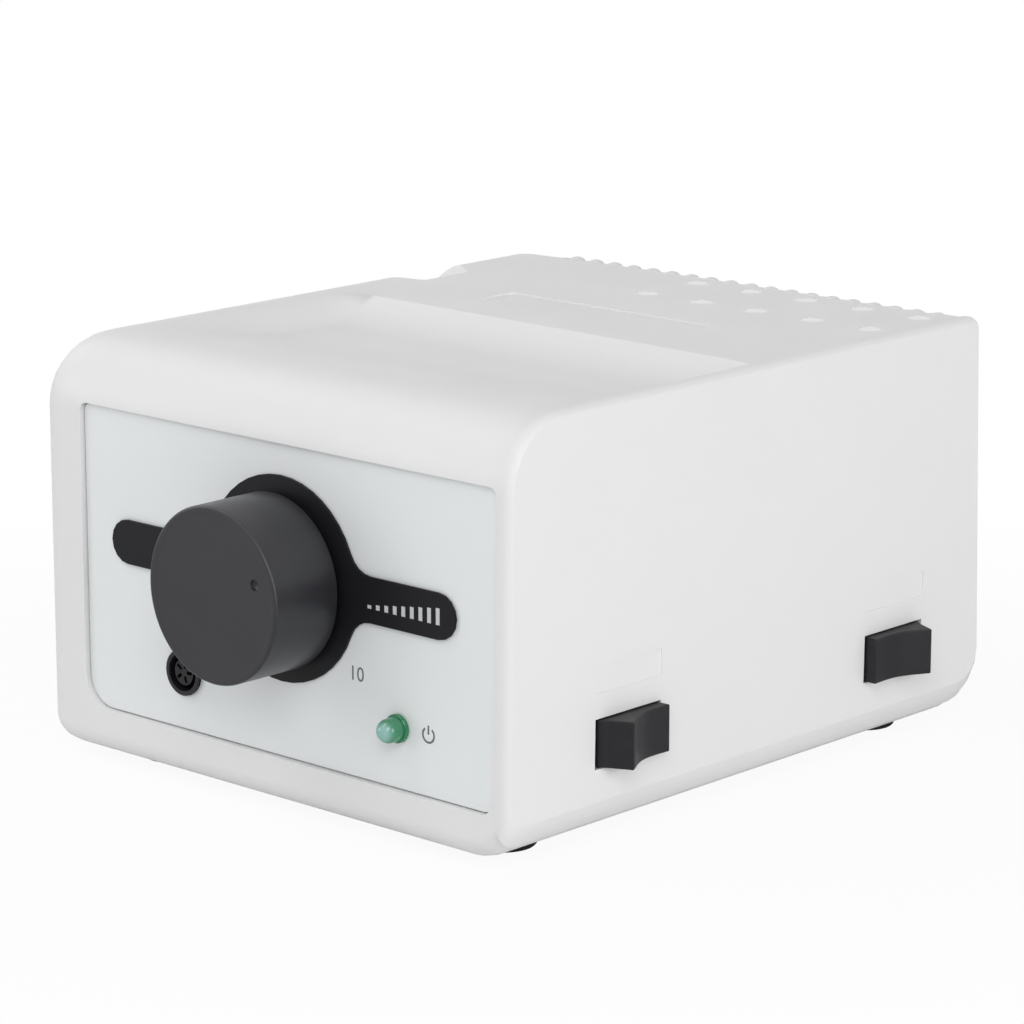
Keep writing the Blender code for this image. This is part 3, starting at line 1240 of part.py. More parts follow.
def board_hole_places():
    """The four corners where the circuit board stands on its posts."""
    x = BOARD_WIDTH / 2 - BOARD_HOLE_INSET
    y = BOARD_LENGTH / 2 - BOARD_HOLE_INSET
    return [(BOARD_X + i * x, BOARD_Y + j * y) for i in (-1, 1) for j in (-1, 1)]


def strap_reach():
    """From the middle of the transformer to each screw of its strap."""
    return CORE_WIDTH / 2 + CLEARANCE + STRAP_THICKNESS + STRAP_FOOT / 2


def add_chassis(root, finishes):
    """The steel plate on the housing's floor, drilled for the feet and the strap."""
    left = LEFT_X + CHASSIS_MARGIN
    right = RIGHT_X - RIGHT_BOTTOM_RADIUS - CLEARANCE
    front, back = CHASSIS_MARGIN, BODY_DEPTH - CHASSIS_MARGIN
    corners = [(left, front), (right, front), (right, back), (left, back)]
    outline = rounded_outline(corners, [CHASSIS_CORNER] * 4, [SHORT_ARC_STEPS] * 4)
    shape = prism(outline, CHASSIS_Z, CHASSIS_TOP)
    piece = add_piece("chassis_plate", shape, finishes["zinc_steel"], root)
    places = [(x, y) for _, x, y in foot_places()]
    places += [(TRANSFORMER_X, TRANSFORMER_Y + side * strap_reach()) for side in (-1, 1)]
    low, high = CHASSIS_Z - OVERRUN, CHASSIS_TOP + OVERRUN
    holes = merge(
        moved(rod(SCREW_HOLE_RADIUS, low, high, SMALL_ROUND_SIDES), (x, y, 0)) for x, y in places
    )
    cut(piece, "screw_holes", holes)


def add_transformer(root, finishes):
    """Laminated core, taped coil round its middle leg, and the strap that holds it down."""
    low = CHASSIS_TOP + CLEARANCE
    place = (TRANSFORMER_X, TRANSFORMER_Y, 0)
    frame = add_empty("transformer_frame", root, place, (0, 0, math.pi / 2))
    half_width, half_stack = CORE_WIDTH / 2, CORE_STACK / 2
    shape = box((-half_width, -half_stack, low), (half_width, half_stack, low + CORE_HEIGHT))
    core = add_piece("transformer_core", shape, finishes["core_steel"], frame)
    inner, outer = CORE_MIDDLE_LEG / 2, half_width - CORE_LEG
    window_low, window_high = low + CORE_YOKE, low + CORE_HEIGHT - CORE_YOKE
    windows = merge(
        box(
            (min(side * inner, side * outer), -half_stack - OVERRUN, window_low),
            (max(side * inner, side * outer), half_stack + OVERRUN, window_high),
        )
        for side in (-1, 1)
    )
    cut(core, "windows", windows)
    coil_width = 2 * (outer - COIL_SIDE_GAP)
    outline = rounded_rectangle(coil_width, COIL_STACK, COIL_CORNER)
    coil = add_piece(
        "transformer_coil",
        prism(outline, window_low + CLEARANCE, window_high - CLEARANCE),
        finishes["copper_tape"],
        frame,
    )
    leg = inner + CLEARANCE
    stack = half_stack + CLEARANCE
    cut(coil, "leg_hole", box((-leg, -stack, low), (leg, stack, low + CORE_HEIGHT)))
    add_strap(frame, low, finishes)


def add_strap(frame, low, finishes):
    """A bent steel strap over the core with a screw in each foot."""
    inner = CORE_WIDTH / 2 + CLEARANCE
    outer = inner + STRAP_THICKNESS
    top = low + CORE_HEIGHT + CLEARANCE
    foot = outer + STRAP_FOOT
    outline = [
        (-foot, low),
        (-inner, low),
        (-inner, top),
        (inner, top),
        (inner, low),
        (foot, low),
        (foot, low + STRAP_THICKNESS),
        (outer, low + STRAP_THICKNESS),
        (outer, top + STRAP_THICKNESS),
        (-outer, top + STRAP_THICKNESS),
        (-outer, low + STRAP_THICKNESS),
        (-foot, low + STRAP_THICKNESS),
    ]
    shape = prism(outline, -STRAP_WIDTH / 2, STRAP_WIDTH / 2, "Y")
    strap = add_piece("transformer_strap", shape, finishes["zinc_steel"], frame)
    places = (("front", -strap_reach()), ("rear", strap_reach()))
    end = low + STRAP_THICKNESS + OVERRUN
    holes = merge(
        moved(rod(SCREW_HOLE_RADIUS, low - OVERRUN, end, SMALL_ROUND_SIDES), (x, 0, 0)) for _, x in places
    )
    cut(strap, "screw_holes", holes)
    head = low + STRAP_THICKNESS + RUNNING_CLEARANCE
    length = head - FLOOR_Z - CLEARANCE
    for side, x in places:
        name = f"{side}_strap_screw"
        add_screw(name, length, finishes["zinc_steel"], frame, (x, 0, head), math.pi)


def add_board(root, finishes):
    """The circuit board on four posts, each with a screw from above."""
    outline = rounded_rectangle(BOARD_WIDTH, BOARD_LENGTH, BOARD_CORNER)
    place = (BOARD_X, BOARD_Y, 0)
    shape = prism(outline, BOARD_Z, BOARD_TOP)
    board = add_piece("circuit_board", shape, finishes["board_green"], root, place)
    holes = merge(
        moved(rod(SCREW_HOLE_RADIUS, BOARD_Z - OVERRUN, BOARD_TOP + OVERRUN, SMALL_ROUND_SIDES), (x, y, 0))
        for x, y in board_hole_places()
    )
    cut(board, "screw_holes", holes)
    low = CHASSIS_TOP + CLEARANCE
    high = low + STANDOFF_HEIGHT
    floor = high - STANDOFF_HOLE_DEPTH
    profile = [
        (0, low),
        (STANDOFF_RADIUS, low),
        (STANDOFF_RADIUS, high),
        (SCREW_HOLE_RADIUS, high),
        (SCREW_HOLE_RADIUS, floor),
        (0, floor),
    ]
    head = BOARD_TOP + RUNNING_CLEARANCE
    for k, (x, y) in enumerate(board_hole_places(), 1):
        add_piece(f"board_post_{k}", turned(profile, SMALL_ROUND_SIDES), finishes["brass"], root, (x, y, 0))
        add_screw(
            f"board_screw_{k}", BOARD_SCREW_LENGTH, finishes["zinc_steel"], root, (x, y, head), math.pi
        )


def add_board_parts(root, finishes):
    """Capacitors, rectifier, heat sink with its transistor, and relay, standing on the board."""
    seat = BOARD_TOP + RUNNING_CLEARANCE
    front = BOARD_Y - BOARD_LENGTH / 2
    y = front + CAPACITOR_ROW_FROM_BOARD_FRONT
    profile = [
        (0, seat),
        (CAPACITOR_RADIUS, seat),
        (CAPACITOR_RADIUS, seat + CAPACITOR_HEIGHT - CAPACITOR_EDGE),
        (CAPACITOR_RADIUS - CAPACITOR_EDGE, seat + CAPACITOR_HEIGHT),
        (0, seat + CAPACITOR_HEIGHT),
    ]
    for side, offset in (("left", -CAPACITOR_FROM_MIDDLE), ("right", CAPACITOR_FROM_MIDDLE)):
        shape = turned(profile, MEDIUM_ROUND_SIDES)
        place = (BOARD_X + offset, y, 0)
        add_piece(f"capacitor_{side}", shape, finishes["capacitor_sleeve"], root, place)
    half = RECTIFIER_WIDTH / 2
    y = front + RECTIFIER_FROM_BOARD_FRONT
    shape = box((-half, 0, seat), (half, RECTIFIER_THICKNESS, seat + RECTIFIER_HEIGHT))
    add_piece("bridge_rectifier", shape, finishes["black_plastic"], root, (BOARD_X, y, 0))
    add_heat_sink(root, front + SINK_FROM_BOARD_FRONT, seat, finishes)
    y = front + RELAY_FROM_BOARD_FRONT
    half = RELAY_LENGTH / 2
    shape = box((-half, -RELAY_WIDTH / 2, seat), (half, RELAY_WIDTH / 2, seat + RELAY_HEIGHT))
    ease_edges(shape, RELAY_EDGE, 1)
    add_piece("relay", shape, finishes["black_plastic"], root, (BOARD_X, y, 0))


def add_heat_sink(root, y, seat, finishes):
    """A finned aluminium extrusion with the power transistor against its flat front."""
    half = SINK_WIDTH / 2
    outline = [(-half, 0), (half, 0)]
    pitch = (SINK_WIDTH - SINK_FIN_THICKNESS) / (SINK_FIN_COUNT - 1)
    for k in range(SINK_FIN_COUNT):
        right = half - pitch * k
        left = right - SINK_FIN_THICKNESS
        tip = SINK_BASE + SINK_FIN
        outline += [(right, SINK_BASE), (right, tip), (left, tip), (left, SINK_BASE)]
    first = outline.index((half, SINK_BASE))
    outline = outline[:first] + outline[first + 1 : -1]
    place = (BOARD_X, y, 0)
    shape = prism(outline, seat, seat + SINK_HEIGHT)
    add_piece("heat_sink", shape, finishes["aluminium"], root, place)
    back = -RUNNING_CLEARANCE
    low = seat + TRANSISTOR_LEG
    high = low + TRANSISTOR_BODY_HEIGHT
    half = TRANSISTOR_WIDTH / 2
    outline = [
        (back, low),
        (back, high + TRANSISTOR_TAB_HEIGHT),
        (back - TRANSISTOR_TAB_THICKNESS, high + TRANSISTOR_TAB_HEIGHT),
        (back - TRANSISTOR_TAB_THICKNESS, high),
        (back - TRANSISTOR_THICKNESS, high),
        (back - TRANSISTOR_THICKNESS, low),
        (back - TRANSISTOR_THICKNESS * 2 / 3, low),
        (back - TRANSISTOR_THICKNESS * 2 / 3, seat),
        (back - TRANSISTOR_THICKNESS / 2, seat),
        (back - TRANSISTOR_THICKNESS / 2, low),
    ]
    shape = prism(outline, -half, half, "X")
    add_piece("power_transistor", shape, finishes["black_plastic"], root, place)


def wall_openings():
    """The cutter shapes that the back wall needs, about the rear frame's origin."""
    depth = WALL + OVERRUN
    inlet = prism(
        rounded_rectangle(
            INLET_BODY_WIDTH + 2 * CLEARANCE, INLET_BODY_HEIGHT + 2 * CLEARANCE, INLET_CORNER
        ),
        -depth,
        OVERRUN,
        "Y",
    )
    fuse = rod(FUSE_BODY_RADIUS + CLEARANCE, -depth, OVERRUN, MEDIUM_ROUND_SIDES, "Y")
    jack = rod(JACK_BARREL_RADIUS + CLEARANCE, -depth, OVERRUN, MEDIUM_ROUND_SIDES, "Y")
    return merge(
        (moved(inlet, (INLET_X, 0, 0)), moved(fuse, (FUSE_X, 0, 0)), moved(jack, (JACK_X, 0, 0)))
    )


def add_inlet(rear, finishes):
    """The mains inlet: a flanged body with a keyed mouth, and three blades through its floor."""
    place = (INLET_X, 0, 0)
    seat = RUNNING_CLEARANCE
    outer = seat + INLET_FLANGE
    flange = prism(
        rounded_rectangle(INLET_FLANGE_WIDTH, INLET_FLANGE_HEIGHT, INLET_CORNER * 2), seat, outer, "Y"
    )
    piece = add_piece("mains_inlet", flange, finishes["black_plastic"], rear, place)
    body = prism(
        rounded_rectangle(INLET_BODY_WIDTH, INLET_BODY_HEIGHT, INLET_CORNER),
        -INLET_BODY_DEPTH,
        seat + INLET_FLANGE / 2,
        "Y",
    )
    join(piece, "body", body, place)
    x, z = INLET_MOUTH_WIDTH / 2, INLET_MOUTH_HEIGHT / 2
    corners = [(-x, -z), (x, -z), (x, z), (-x, z)]
    radii = [INLET_CORNER, INLET_CORNER, INLET_KEY_CORNER, INLET_KEY_CORNER]
    mouth = prism(
        rounded_outline(corners, radii, [SHORT_ARC_STEPS, SHORT_ARC_STEPS, 1, 1]),
        outer - INLET_MOUTH_DEPTH,
        outer + OVERRUN,
        "Y",
    )
    cut(piece, "mouth", mouth, place)
    tip = outer - PIN_SINK
    tail = -INLET_BODY_DEPTH - PIN_TAIL
    for name, offset, raise_by in (
        ("line", -PIN_SPACING, -PIN_RAISE),
        ("neutral", PIN_SPACING, -PIN_RAISE),
        ("earth", 0, PIN_RAISE),
    ):
        half_width, half_height = PIN_WIDTH / 2, PIN_HEIGHT / 2
        gap = RUNNING_CLEARANCE
        hole = box(
            (offset - half_width - gap, -INLET_BODY_DEPTH - OVERRUN, raise_by - half_height - gap),
            (offset + half_width + gap, 0, raise_by + half_height + gap),
        )
        cut(piece, f"{name}_hole", hole, place)
        blade = box(
            (offset - half_width, tail, raise_by - half_height),
            (offset + half_width, tip, raise_by + half_height),
        )
        add_piece(f"inlet_{name}_blade", blade, finishes["brass"], rear, place)


def add_fuse_holder(rear, finishes):
    """Fuse holder, its quarter-turn cap on its own axis, and the glass fuse inside."""
    place = (FUSE_X, 0, 0)
    seat = RUNNING_CLEARANCE
    outer = seat + FUSE_FLANGE
    floor = outer - FUSE_BORE_DEPTH
    profile = [
        (0, outer - FUSE_BODY_LENGTH),
        (FUSE_BODY_RADIUS, outer - FUSE_BODY_LENGTH),
        (FUSE_BODY_RADIUS, seat),
        (FUSE_FLANGE_RADIUS, seat),
        (FUSE_FLANGE_RADIUS, outer),
        (FUSE_BORE_RADIUS, outer),
        (FUSE_BORE_RADIUS, floor),
        (0, floor),
    ]
    shape = turned(profile, MEDIUM_ROUND_SIDES, "Y")
    add_piece("fuse_holder", shape, finishes["black_plastic"], rear, place)
    axis = add_empty("fuse_cap_axis", rear, place)
    start = outer + CLEARANCE
    end = start + FUSE_CAP_LENGTH
    plug = start - FUSE_CAP_PLUG
    cap = [
        (0, plug),
        (FUSE_CAP_PLUG_RADIUS, plug),
        (FUSE_CAP_PLUG_RADIUS, start),
        (FUSE_CAP_RADIUS, start),
        (FUSE_CAP_RADIUS, end - KNOB_EDGE),
        (FUSE_CAP_RADIUS - KNOB_EDGE, end),
        (0, end),
    ]
    piece = add_piece("fuse_cap", turned(cap, MEDIUM_ROUND_SIDES, "Y"), finishes["black_plastic"], axis)
    half = FUSE_CAP_SLOT_WIDTH / 2
    reach = FUSE_CAP_RADIUS - FUSE_CAP_SLOT_WIDTH
    slot = box((-reach, end - FUSE_CAP_SLOT_DEPTH, -half), (reach, end + OVERRUN, half))
    cut(piece, "coin_slot", slot)
    stop = plug - CLEARANCE
    tube = rod(FUSE_TUBE_RADIUS, stop - FUSE_TUBE_LENGTH, stop, SMALL_ROUND_SIDES, "Y")
    add_piece("fuse_tube", tube, finishes["glass"], rear, place)


def add_foot_jack(rear, finishes):
    """The round socket for the foot control's plug, with its square body inside the wall."""
    place = (JACK_X, 0, 0)
    seat = RUNNING_CLEARANCE
    outer = seat + JACK_FLANGE
    inside = -WALL - CLEARANCE
    profile = [
        (0, inside - JACK_BODY_DEPTH / 2),
        (JACK_BARREL_RADIUS, inside - JACK_BODY_DEPTH / 2),
        (JACK_BARREL_RADIUS, seat),
        (JACK_FLANGE_RADIUS, seat),
        (JACK_FLANGE_RADIUS, outer),
        (0, outer),
    ]
    shape = turned(profile, MEDIUM_ROUND_SIDES, "Y")
    piece = add_piece("foot_control_jack", shape, finishes["black_plastic"], rear, place)
    half = JACK_BODY_SIDE / 2
    body = box((-half, inside - JACK_BODY_DEPTH, -half), (half, inside, half))
    join(piece, "body", body, place)
    bore = rod(JACK_BORE_RADIUS, outer - JACK_BORE_DEPTH, outer + OVERRUN, MEDIUM_ROUND_SIDES, "Y")
    cut(piece, "bore", bore, place)


def centre_over_origin(root):
    """Moves the whole box so that its bounding box stands centred on the origin."""
    bpy.context.view_layer.update()
    graph = bpy.context.evaluated_depsgraph_get()
    lows, highs = [], []
    for piece in bpy.data.objects:
        if piece.type != "MESH" or piece.hide_render:
            continue
        solid = piece.evaluated_get(graph)
        corners = [solid.matrix_world @ vert.co for vert in solid.data.vertices]
        lows.append([min(corner[i] for corner in corners) for i in range(3)])
        highs.append([max(corner[i] for corner in corners) for i in range(3)])
    low = [min(values) for values in zip(*lows)]
    high = [max(values) for values in zip(*highs)]
    root.location = (-(low[0] + high[0]) / 2, -(low[1] + high[1]) / 2, -low[2])
    bpy.context.view_layer.update()


def main():
    """Clears the scene and builds the box."""
    for old in list(bpy.data.objects):
        bpy.data.objects.remove(old)
    finishes = make_materials()
    root = add_empty("box_frame")
    housing = add_housing(root, finishes["white_abs"])
    add_side_cover(root, finishes["white_abs"])
    add_front_panel(root, finishes["panel_print"])
    add_badge(root, finishes["black_label"])
    knob_axis = add_empty("knob_axis", root, (KNOB_X, 0, KNOB_Z))
    add_knob(knob_axis, finishes)
    add_potentiometer(root, finishes)
    add_motor_socket(root, finishes)
    add_power_light(root, finishes)
    for name, y, tilt in rocker_places():
        add_switch(root, name, y, tilt, finishes)
    add_feet(root, finishes)
    add_chassis(root, finishes)
    add_transformer(root, finishes)
    add_board(root, finishes)
    add_board_parts(root, finishes)
    rear_z = STAND_HEIGHT + REAR_ROW_HEIGHT
    rear_place = (0, back_y(rear_z), rear_z)
    rear = add_empty("rear_frame", root, rear_place, (BACK_ANGLE, 0, 0))
    cut(housing, "rear_openings", wall_openings(), rear_place, (BACK_ANGLE, 0, 0))
    add_inlet(rear, finishes)
    add_fuse_holder(rear, finishes)
    add_foot_jack(rear, finishes)
    centre_over_origin(root)


main()
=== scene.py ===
"""Looks of a dental laboratory micromotor's control box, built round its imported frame.

Lengths in the classes are millimetres in the box's own frame: +X runs to the right, +Y to the
back, the housing's front plane is y = 0 and the table is z = 0. Blender's own are metres.
"""

import json
import logging
import math
from collections.abc import Callable, Iterable, Sequence
from dataclasses import dataclass
from enum import Enum

import bmesh
import bpy
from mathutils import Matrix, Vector

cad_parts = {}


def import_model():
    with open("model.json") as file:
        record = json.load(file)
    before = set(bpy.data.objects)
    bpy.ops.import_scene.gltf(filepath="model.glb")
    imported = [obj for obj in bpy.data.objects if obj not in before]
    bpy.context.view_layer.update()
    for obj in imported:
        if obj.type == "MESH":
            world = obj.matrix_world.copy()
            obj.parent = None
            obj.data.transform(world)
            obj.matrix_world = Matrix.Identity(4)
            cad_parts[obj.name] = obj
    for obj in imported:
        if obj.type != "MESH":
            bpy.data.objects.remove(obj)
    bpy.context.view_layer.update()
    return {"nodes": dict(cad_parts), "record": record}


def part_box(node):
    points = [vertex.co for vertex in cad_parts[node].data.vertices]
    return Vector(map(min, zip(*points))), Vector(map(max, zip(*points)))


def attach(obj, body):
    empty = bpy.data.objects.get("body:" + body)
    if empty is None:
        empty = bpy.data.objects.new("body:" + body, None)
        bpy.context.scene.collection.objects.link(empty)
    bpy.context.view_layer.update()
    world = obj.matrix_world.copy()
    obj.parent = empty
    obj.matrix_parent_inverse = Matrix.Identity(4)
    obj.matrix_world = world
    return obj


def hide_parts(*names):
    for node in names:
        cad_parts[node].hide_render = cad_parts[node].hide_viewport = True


LOG = logging.getLogger("control_box")

MM = 0.001
HALF_BODY_WIDTH = 70.5
SMOOTH_ANGLE = math.radians(32)
MERGE_DISTANCE = 0.002 * MM
SHARP_EDGE = math.radians(40)
FLAT_ANGLE = math.radians(0.4)
CUTTER_OVERRUN = 1.0
AXIS_TOLERANCE = 0.001 * MM

FRONT_ROCKER_Y = 35.1
REAR_ROCKER_Y = 121.7

CAMERA_PLACE = (0.582125, -0.628534, 0.25521)
CAMERA_AZIMUTH = math.radians(42.70)
CAMERA_ELEVATION = math.radians(13.37)
CAMERA_LENS = 143.45
CAMERA_SENSOR = 36.0
CAMERA_NEAR = 0.01
CAMERA_FAR = 50.0

BYTE = 255
SRGB_KNEE = 0.04045
SRGB_SLOPE = 12.92
SRGB_OFFSET = 0.055
SRGB_POWER = 2.4
WHITE = (1.0, 1.0, 1.0, 1.0)

GRAIN_DETAIL = 3.0
GRAIN_ROUGHNESS = 0.55
CLOUD_DETAIL = 4.0
CLOUD_LOW = 0.3
CLOUD_HIGH = 0.7
LEAST_ROUGHNESS = 0.02
WAVE_UNIT = math.pi / 10
WAVE_DISTORTION = 0.2

# Where Blender's mix node keeps its sockets when it blends colours.
MIX_SHARE = 0
MIX_LOW = 6
MIX_HIGH = 7
MIX_RESULT = 2


class Body(Enum):
    """The frame's bodies."""

    BOX = "box"
    KNOB = "knob"
    FRONT_ROCKER = "front_rocker_body"
    REAR_ROCKER = "rear_rocker_body"
    FUSE_CAP = "fuse_cap_body"


class Part(Enum):
    """What a selection in edit mode is made of."""

    VERT = "VERT"
    EDGE = "EDGE"
    FACE = "FACE"


class Facing(Enum):
    """Where a round piece's own +Z points in the box, as the turn that brings it there."""

    UP = (0.0, 0.0, 0.0)
    DOWN = (math.pi, 0.0, 0.0)
    FRONT = (math.pi / 2, 0.0, 0.0)


# Modelling by operators


@dataclass(frozen=True)
class Place:
    """Turns millimetres in the box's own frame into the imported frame's metres."""

    shift: Vector

    @classmethod
    def from_frame(cls) -> "Place":
        """Reads the box's place from the housing's corners."""
        low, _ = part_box("main_housing")
        return cls(Vector((low[0] + HALF_BODY_WIDTH * MM, low[1], 0.0)))

    def at(self, x: float, y: float, z: float) -> Vector:
        """A point of the box.

        Args:
            x: Millimetres to the right.
            y: Millimetres to the back.
            z: Millimetres above the table.

        Returns:
            The same point in metres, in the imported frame.
        """
        return Vector((x, y, z)) * MM + self.shift


def activate(obj: bpy.types.Object) -> None:
    """Makes one object the only selected and the active one."""
    for other in list(bpy.context.selected_objects):
        other.select_set(False)
    obj.select_set(True)
    bpy.context.view_layer.objects.active = obj


class Editing:
    """Edit mode on one object, entered with nothing selected in its mesh."""

    def __init__(self, obj: bpy.types.Object) -> None:
        """Keeps the object to edit."""
        self.obj = obj

    def __enter__(self) -> "Editing":
        """Enters edit mode."""
        activate(self.obj)
        bpy.ops.object.mode_set(mode="EDIT")
        bpy.ops.mesh.select_all(action="DESELECT")
        return self

    def __exit__(self, *_: object) -> None:
        """Leaves edit mode."""
        bpy.ops.object.mode_set(mode="OBJECT")

    def start(self, part: Part) -> None:
        """Sets what a selection is made of, and selects nothing."""
        bpy.ops.mesh.select_mode(type=part.value)
        bpy.ops.mesh.select_all(action="DESELECT")

    def select_faces(self, test: Callable[[Vector], bool]) -> None:
        """Selects the faces whose middle passes a test.

        Args:
            test: Takes the middle, in the object's own frame.
        """
        self.start(Part.FACE)
        mesh = bmesh.from_edit_mesh(self.obj.data)
        for face in mesh.faces:
            if test(face.calc_center_median()):
                face.select_set(True)
        bmesh.update_edit_mesh(self.obj.data)

    def select_all(self) -> None:
        """Selects the whole mesh."""
        bpy.ops.mesh.select_all(action="SELECT")

    def select_sharp(self, angle: float, test: Callable[[Vector], bool]) -> None:
        """Selects the edges that turn more than an angle and whose middle passes a test.

        Args:
            angle: In radians.
            test: Takes the middle, in the object's own frame.
        """
        self.start(Part.EDGE)
        bpy.ops.mesh.edges_select_sharp(sharpness=angle)
        mesh = bmesh.from_edit_mesh(self.obj.data)
        for edge in mesh.edges:
            if edge.select and not test((edge.verts[0].co + edge.verts[1].co) / 2):
                edge.select_set(False)
        bmesh.update_edit_mesh(self.obj.data)

    def select_open_edges(self) -> None:
        """Selects the edges that only one face holds."""
        self.start(Part.EDGE)
        bpy.ops.mesh.select_non_manifold()

    def face_outwards(self) -> None:
        """Turns every face of the mesh outwards."""
        self.select_all()
        bpy.ops.mesh.normals_make_consistent(inside=False)


def extrude(offset: Sequence[float]) -> None:
    """Extrudes the selected region by an offset."""
    bpy.ops.mesh.extrude_region_move(TRANSFORM_OT_translate={"value": tuple(offset)})


def made(name: str) -> bpy.types.Object:
    """Names the object that the last primitive operator added.

    Args:
        name: The new name of the object and its mesh.

    Returns:
        The object.
    """
    obj = bpy.context.active_object
    obj.name = name
    obj.data.name = name
    return obj


def lathe(
    name: str,
    rings: Sequence[tuple[float, float]],
    segments: int,
    place: Vector,
    facing: Facing = Facing.UP,
    through: bool = False,
) -> bpy.types.Object:
    """Raises a disc through rings, as a potter does.

    Args:
        name: The object's name.
        rings: (radius, height) of each ring in millimetres, along the piece's own +Z.
        segments: Sides of each ring.
        place: Where the piece's own origin lies.
        facing: Where its +Z points.
        through: Joins the first ring to the last one, which leaves a hole through the piece.

    Returns:
        The object, not yet applied.
    """
    radius, height = rings[0]
    bpy.ops.mesh.primitive_circle_add(vertices=segments, radius=radius * MM, fill_type="NGON")
    obj = made(name)
    with Editing(obj) as edit:
        edit.select_all()
        bpy.ops.transform.translate(value=(0, 0, height * MM))
        for next_radius, next_height in rings[1:]:
            extrude((0, 0, (next_height - height) * MM))
            ratio = next_radius / radius
            bpy.ops.transform.resize(value=(ratio, ratio, 1), center_override=(0, 0, 0))
            radius, height = next_radius, next_height
        if through:
            edit.select_faces(on_axis)
            bpy.ops.mesh.delete(type="ONLY_FACE")
            edit.select_open_edges()
            bpy.ops.mesh.bridge_edge_loops()
        edit.face_outwards()
    obj.location = place
    obj.rotation_euler = facing.value
    return obj


def on_axis(middle: Vector) -> bool:
    """Whether a face's middle lies on the piece's own axis, as only a cap's does."""
    return middle.xy.length < AXIS_TOLERANCE


def traced(name: str, points: Sequence[tuple[float, float]], depth: float) -> bpy.types.Object:
    """Draws a closed outline by extruding a point along it, then raises it into a slab.

    Args:
        name: The object's name.
        points: The outline's corners in millimetres, in the piece's own X and Y.
        depth: How far it is raised along its own +Z, in millimetres.

    Returns:
        The object, at the origin.
    """
    bpy.ops.mesh.primitive_plane_add(size=MM)
    obj = made(name)
    with Editing(obj) as edit:
        bpy.ops.mesh.select_mode(type=Part.VERT.value)
        edit.select_all()
        bpy.ops.mesh.merge(type="CENTER")
        edit.select_all()
        bpy.ops.transform.translate(value=(points[0][0] * MM, points[0][1] * MM, 0))
        for here, there in zip(points, points[1:]):
            step = ((there[0] - here[0]) * MM, (there[1] - here[1]) * MM, 0)
            bpy.ops.mesh.extrude_vertices_move(TRANSFORM_OT_translate={"value": step})
        edit.select_all()
        bpy.ops.mesh.edge_face_add()
        bpy.ops.mesh.select_mode(type=Part.FACE.value)
        edit.select_all()
        extrude((0, 0, depth * MM))
        edit.face_outwards()
    return obj


def apply_modifiers(obj: bpy.types.Object) -> None:
    """Applies every modifier of an object in order."""
    activate(obj)
    for modifier in list(obj.modifiers):
        bpy.ops.object.modifier_apply(modifier=modifier.name)


def soften(obj: bpy.types.Object, width: float, segments: int = 2) -> None:
    """Rounds the sharp edges of an object.

    Args:
        obj: The object.
        width: Millimetres.
        segments: Steps round each edge.
    """
    bevel = obj.modifiers.new("soft_edges", "BEVEL")
    bevel.width = width * MM
    bevel.segments = segments
    bevel.limit_method = "ANGLE"
    bevel.angle_limit = SHARP_EDGE
    bevel.miter_outer = "MITER_ARC"
    apply_modifiers(obj)


def flatten_wide_faces(obj: bpy.types.Object) -> None:
    """Weighs normals by area, so that a rounded edge doesn't shade the flat face beside it."""
    weighted = obj.modifiers.new("weighted_normals", "WEIGHTED_NORMAL")
    weighted.keep_sharp = True
    apply_modifiers(obj)


def carve(obj: bpy.types.Object, cutter: bpy.types.Object) -> None:
    """Takes a cutter out of an object, and removes the cutter.

    Args:
        obj: The object that is cut.
        cutter: The shape that is taken out.
    """
    boolean = obj.modifiers.new("carve", "BOOLEAN")
    boolean.operation = "DIFFERENCE"
    boolean.solver = "EXACT"
    boolean.object = cutter
    apply_modifiers(obj)
    bpy.data.objects.remove(cutter)


def weld(obj: bpy.types.Object, others: Iterable[bpy.types.Object]) -> None:
    """Joins other objects into one, as one piece.

    Args:
        obj: The object that stays.
        others: The objects that it takes in.
    """
    activate(obj)
    for other in others:
        other.select_set(True)
    bpy.ops.object.join()


def linked(name: str, data: bpy.types.ID) -> bpy.types.Object:
    """Adds an object to the scene.

    Args:
        name: The object's name.
        data: Its mesh, lamp or camera.

    Returns:
        The object.
    """
    obj = bpy.data.objects.new(name, data)
    bpy.context.scene.collection.objects.link(obj)
    return obj


def copied(first: bpy.types.Object, name: str, place: Vector) -> bpy.types.Object:
    """Adds an object with a copy of another one's mesh.

    Args:
        first: The other object, which is left alone.
        name: The copy's name.
        place: Where the copy's origin lies.

    Returns:
        The copy.
    """
    obj = linked(name, first.data.copy())
    obj.data.name = name
    obj.location = place
    return obj


def smoothed_copy(name: str, node: bpy.types.Object) -> bpy.types.Object:
    """Copies a frame node's mesh, merges its loose triangles and clears the flat ones.

    Args:
        name: The copy's name.
        node: The frame's node.

    Returns:
        The copy.
    """
    obj = copied(node, name, Vector())
    with Editing(obj) as edit:
        edit.select_all()
        bpy.ops.mesh.customdata_custom_splitnormals_clear()
        bpy.ops.mesh.remove_doubles(threshold=MERGE_DISTANCE)
        bpy.ops.mesh.dissolve_limited(angle_limit=FLAT_ANGLE)
    return obj


def settle(obj: bpy.types.Object, finish: "Finish", body: Body, *replaced: str) -> None:
    """Puts a finished piece's place into its mesh and tells the frame about it.

    Args:
        obj: The piece.
        finish: What it is made of.
        body: The body that it rides on.
        *replaced: The frame nodes that it stands for.
    """
    activate(obj)
    bpy.ops.object.transform_apply(location=True, rotation=True, scale=True)
    bpy.ops.object.shade_smooth_by_angle(angle=SMOOTH_ANGLE)
    flatten_wide_faces(obj)
    obj.data.materials.clear()
    obj.data.materials.append(finish.material())
    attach(obj, body.value)
    if replaced:
        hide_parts(*replaced)
    LOG.info("%s: %d faces", obj.name, len(obj.data.polygons))


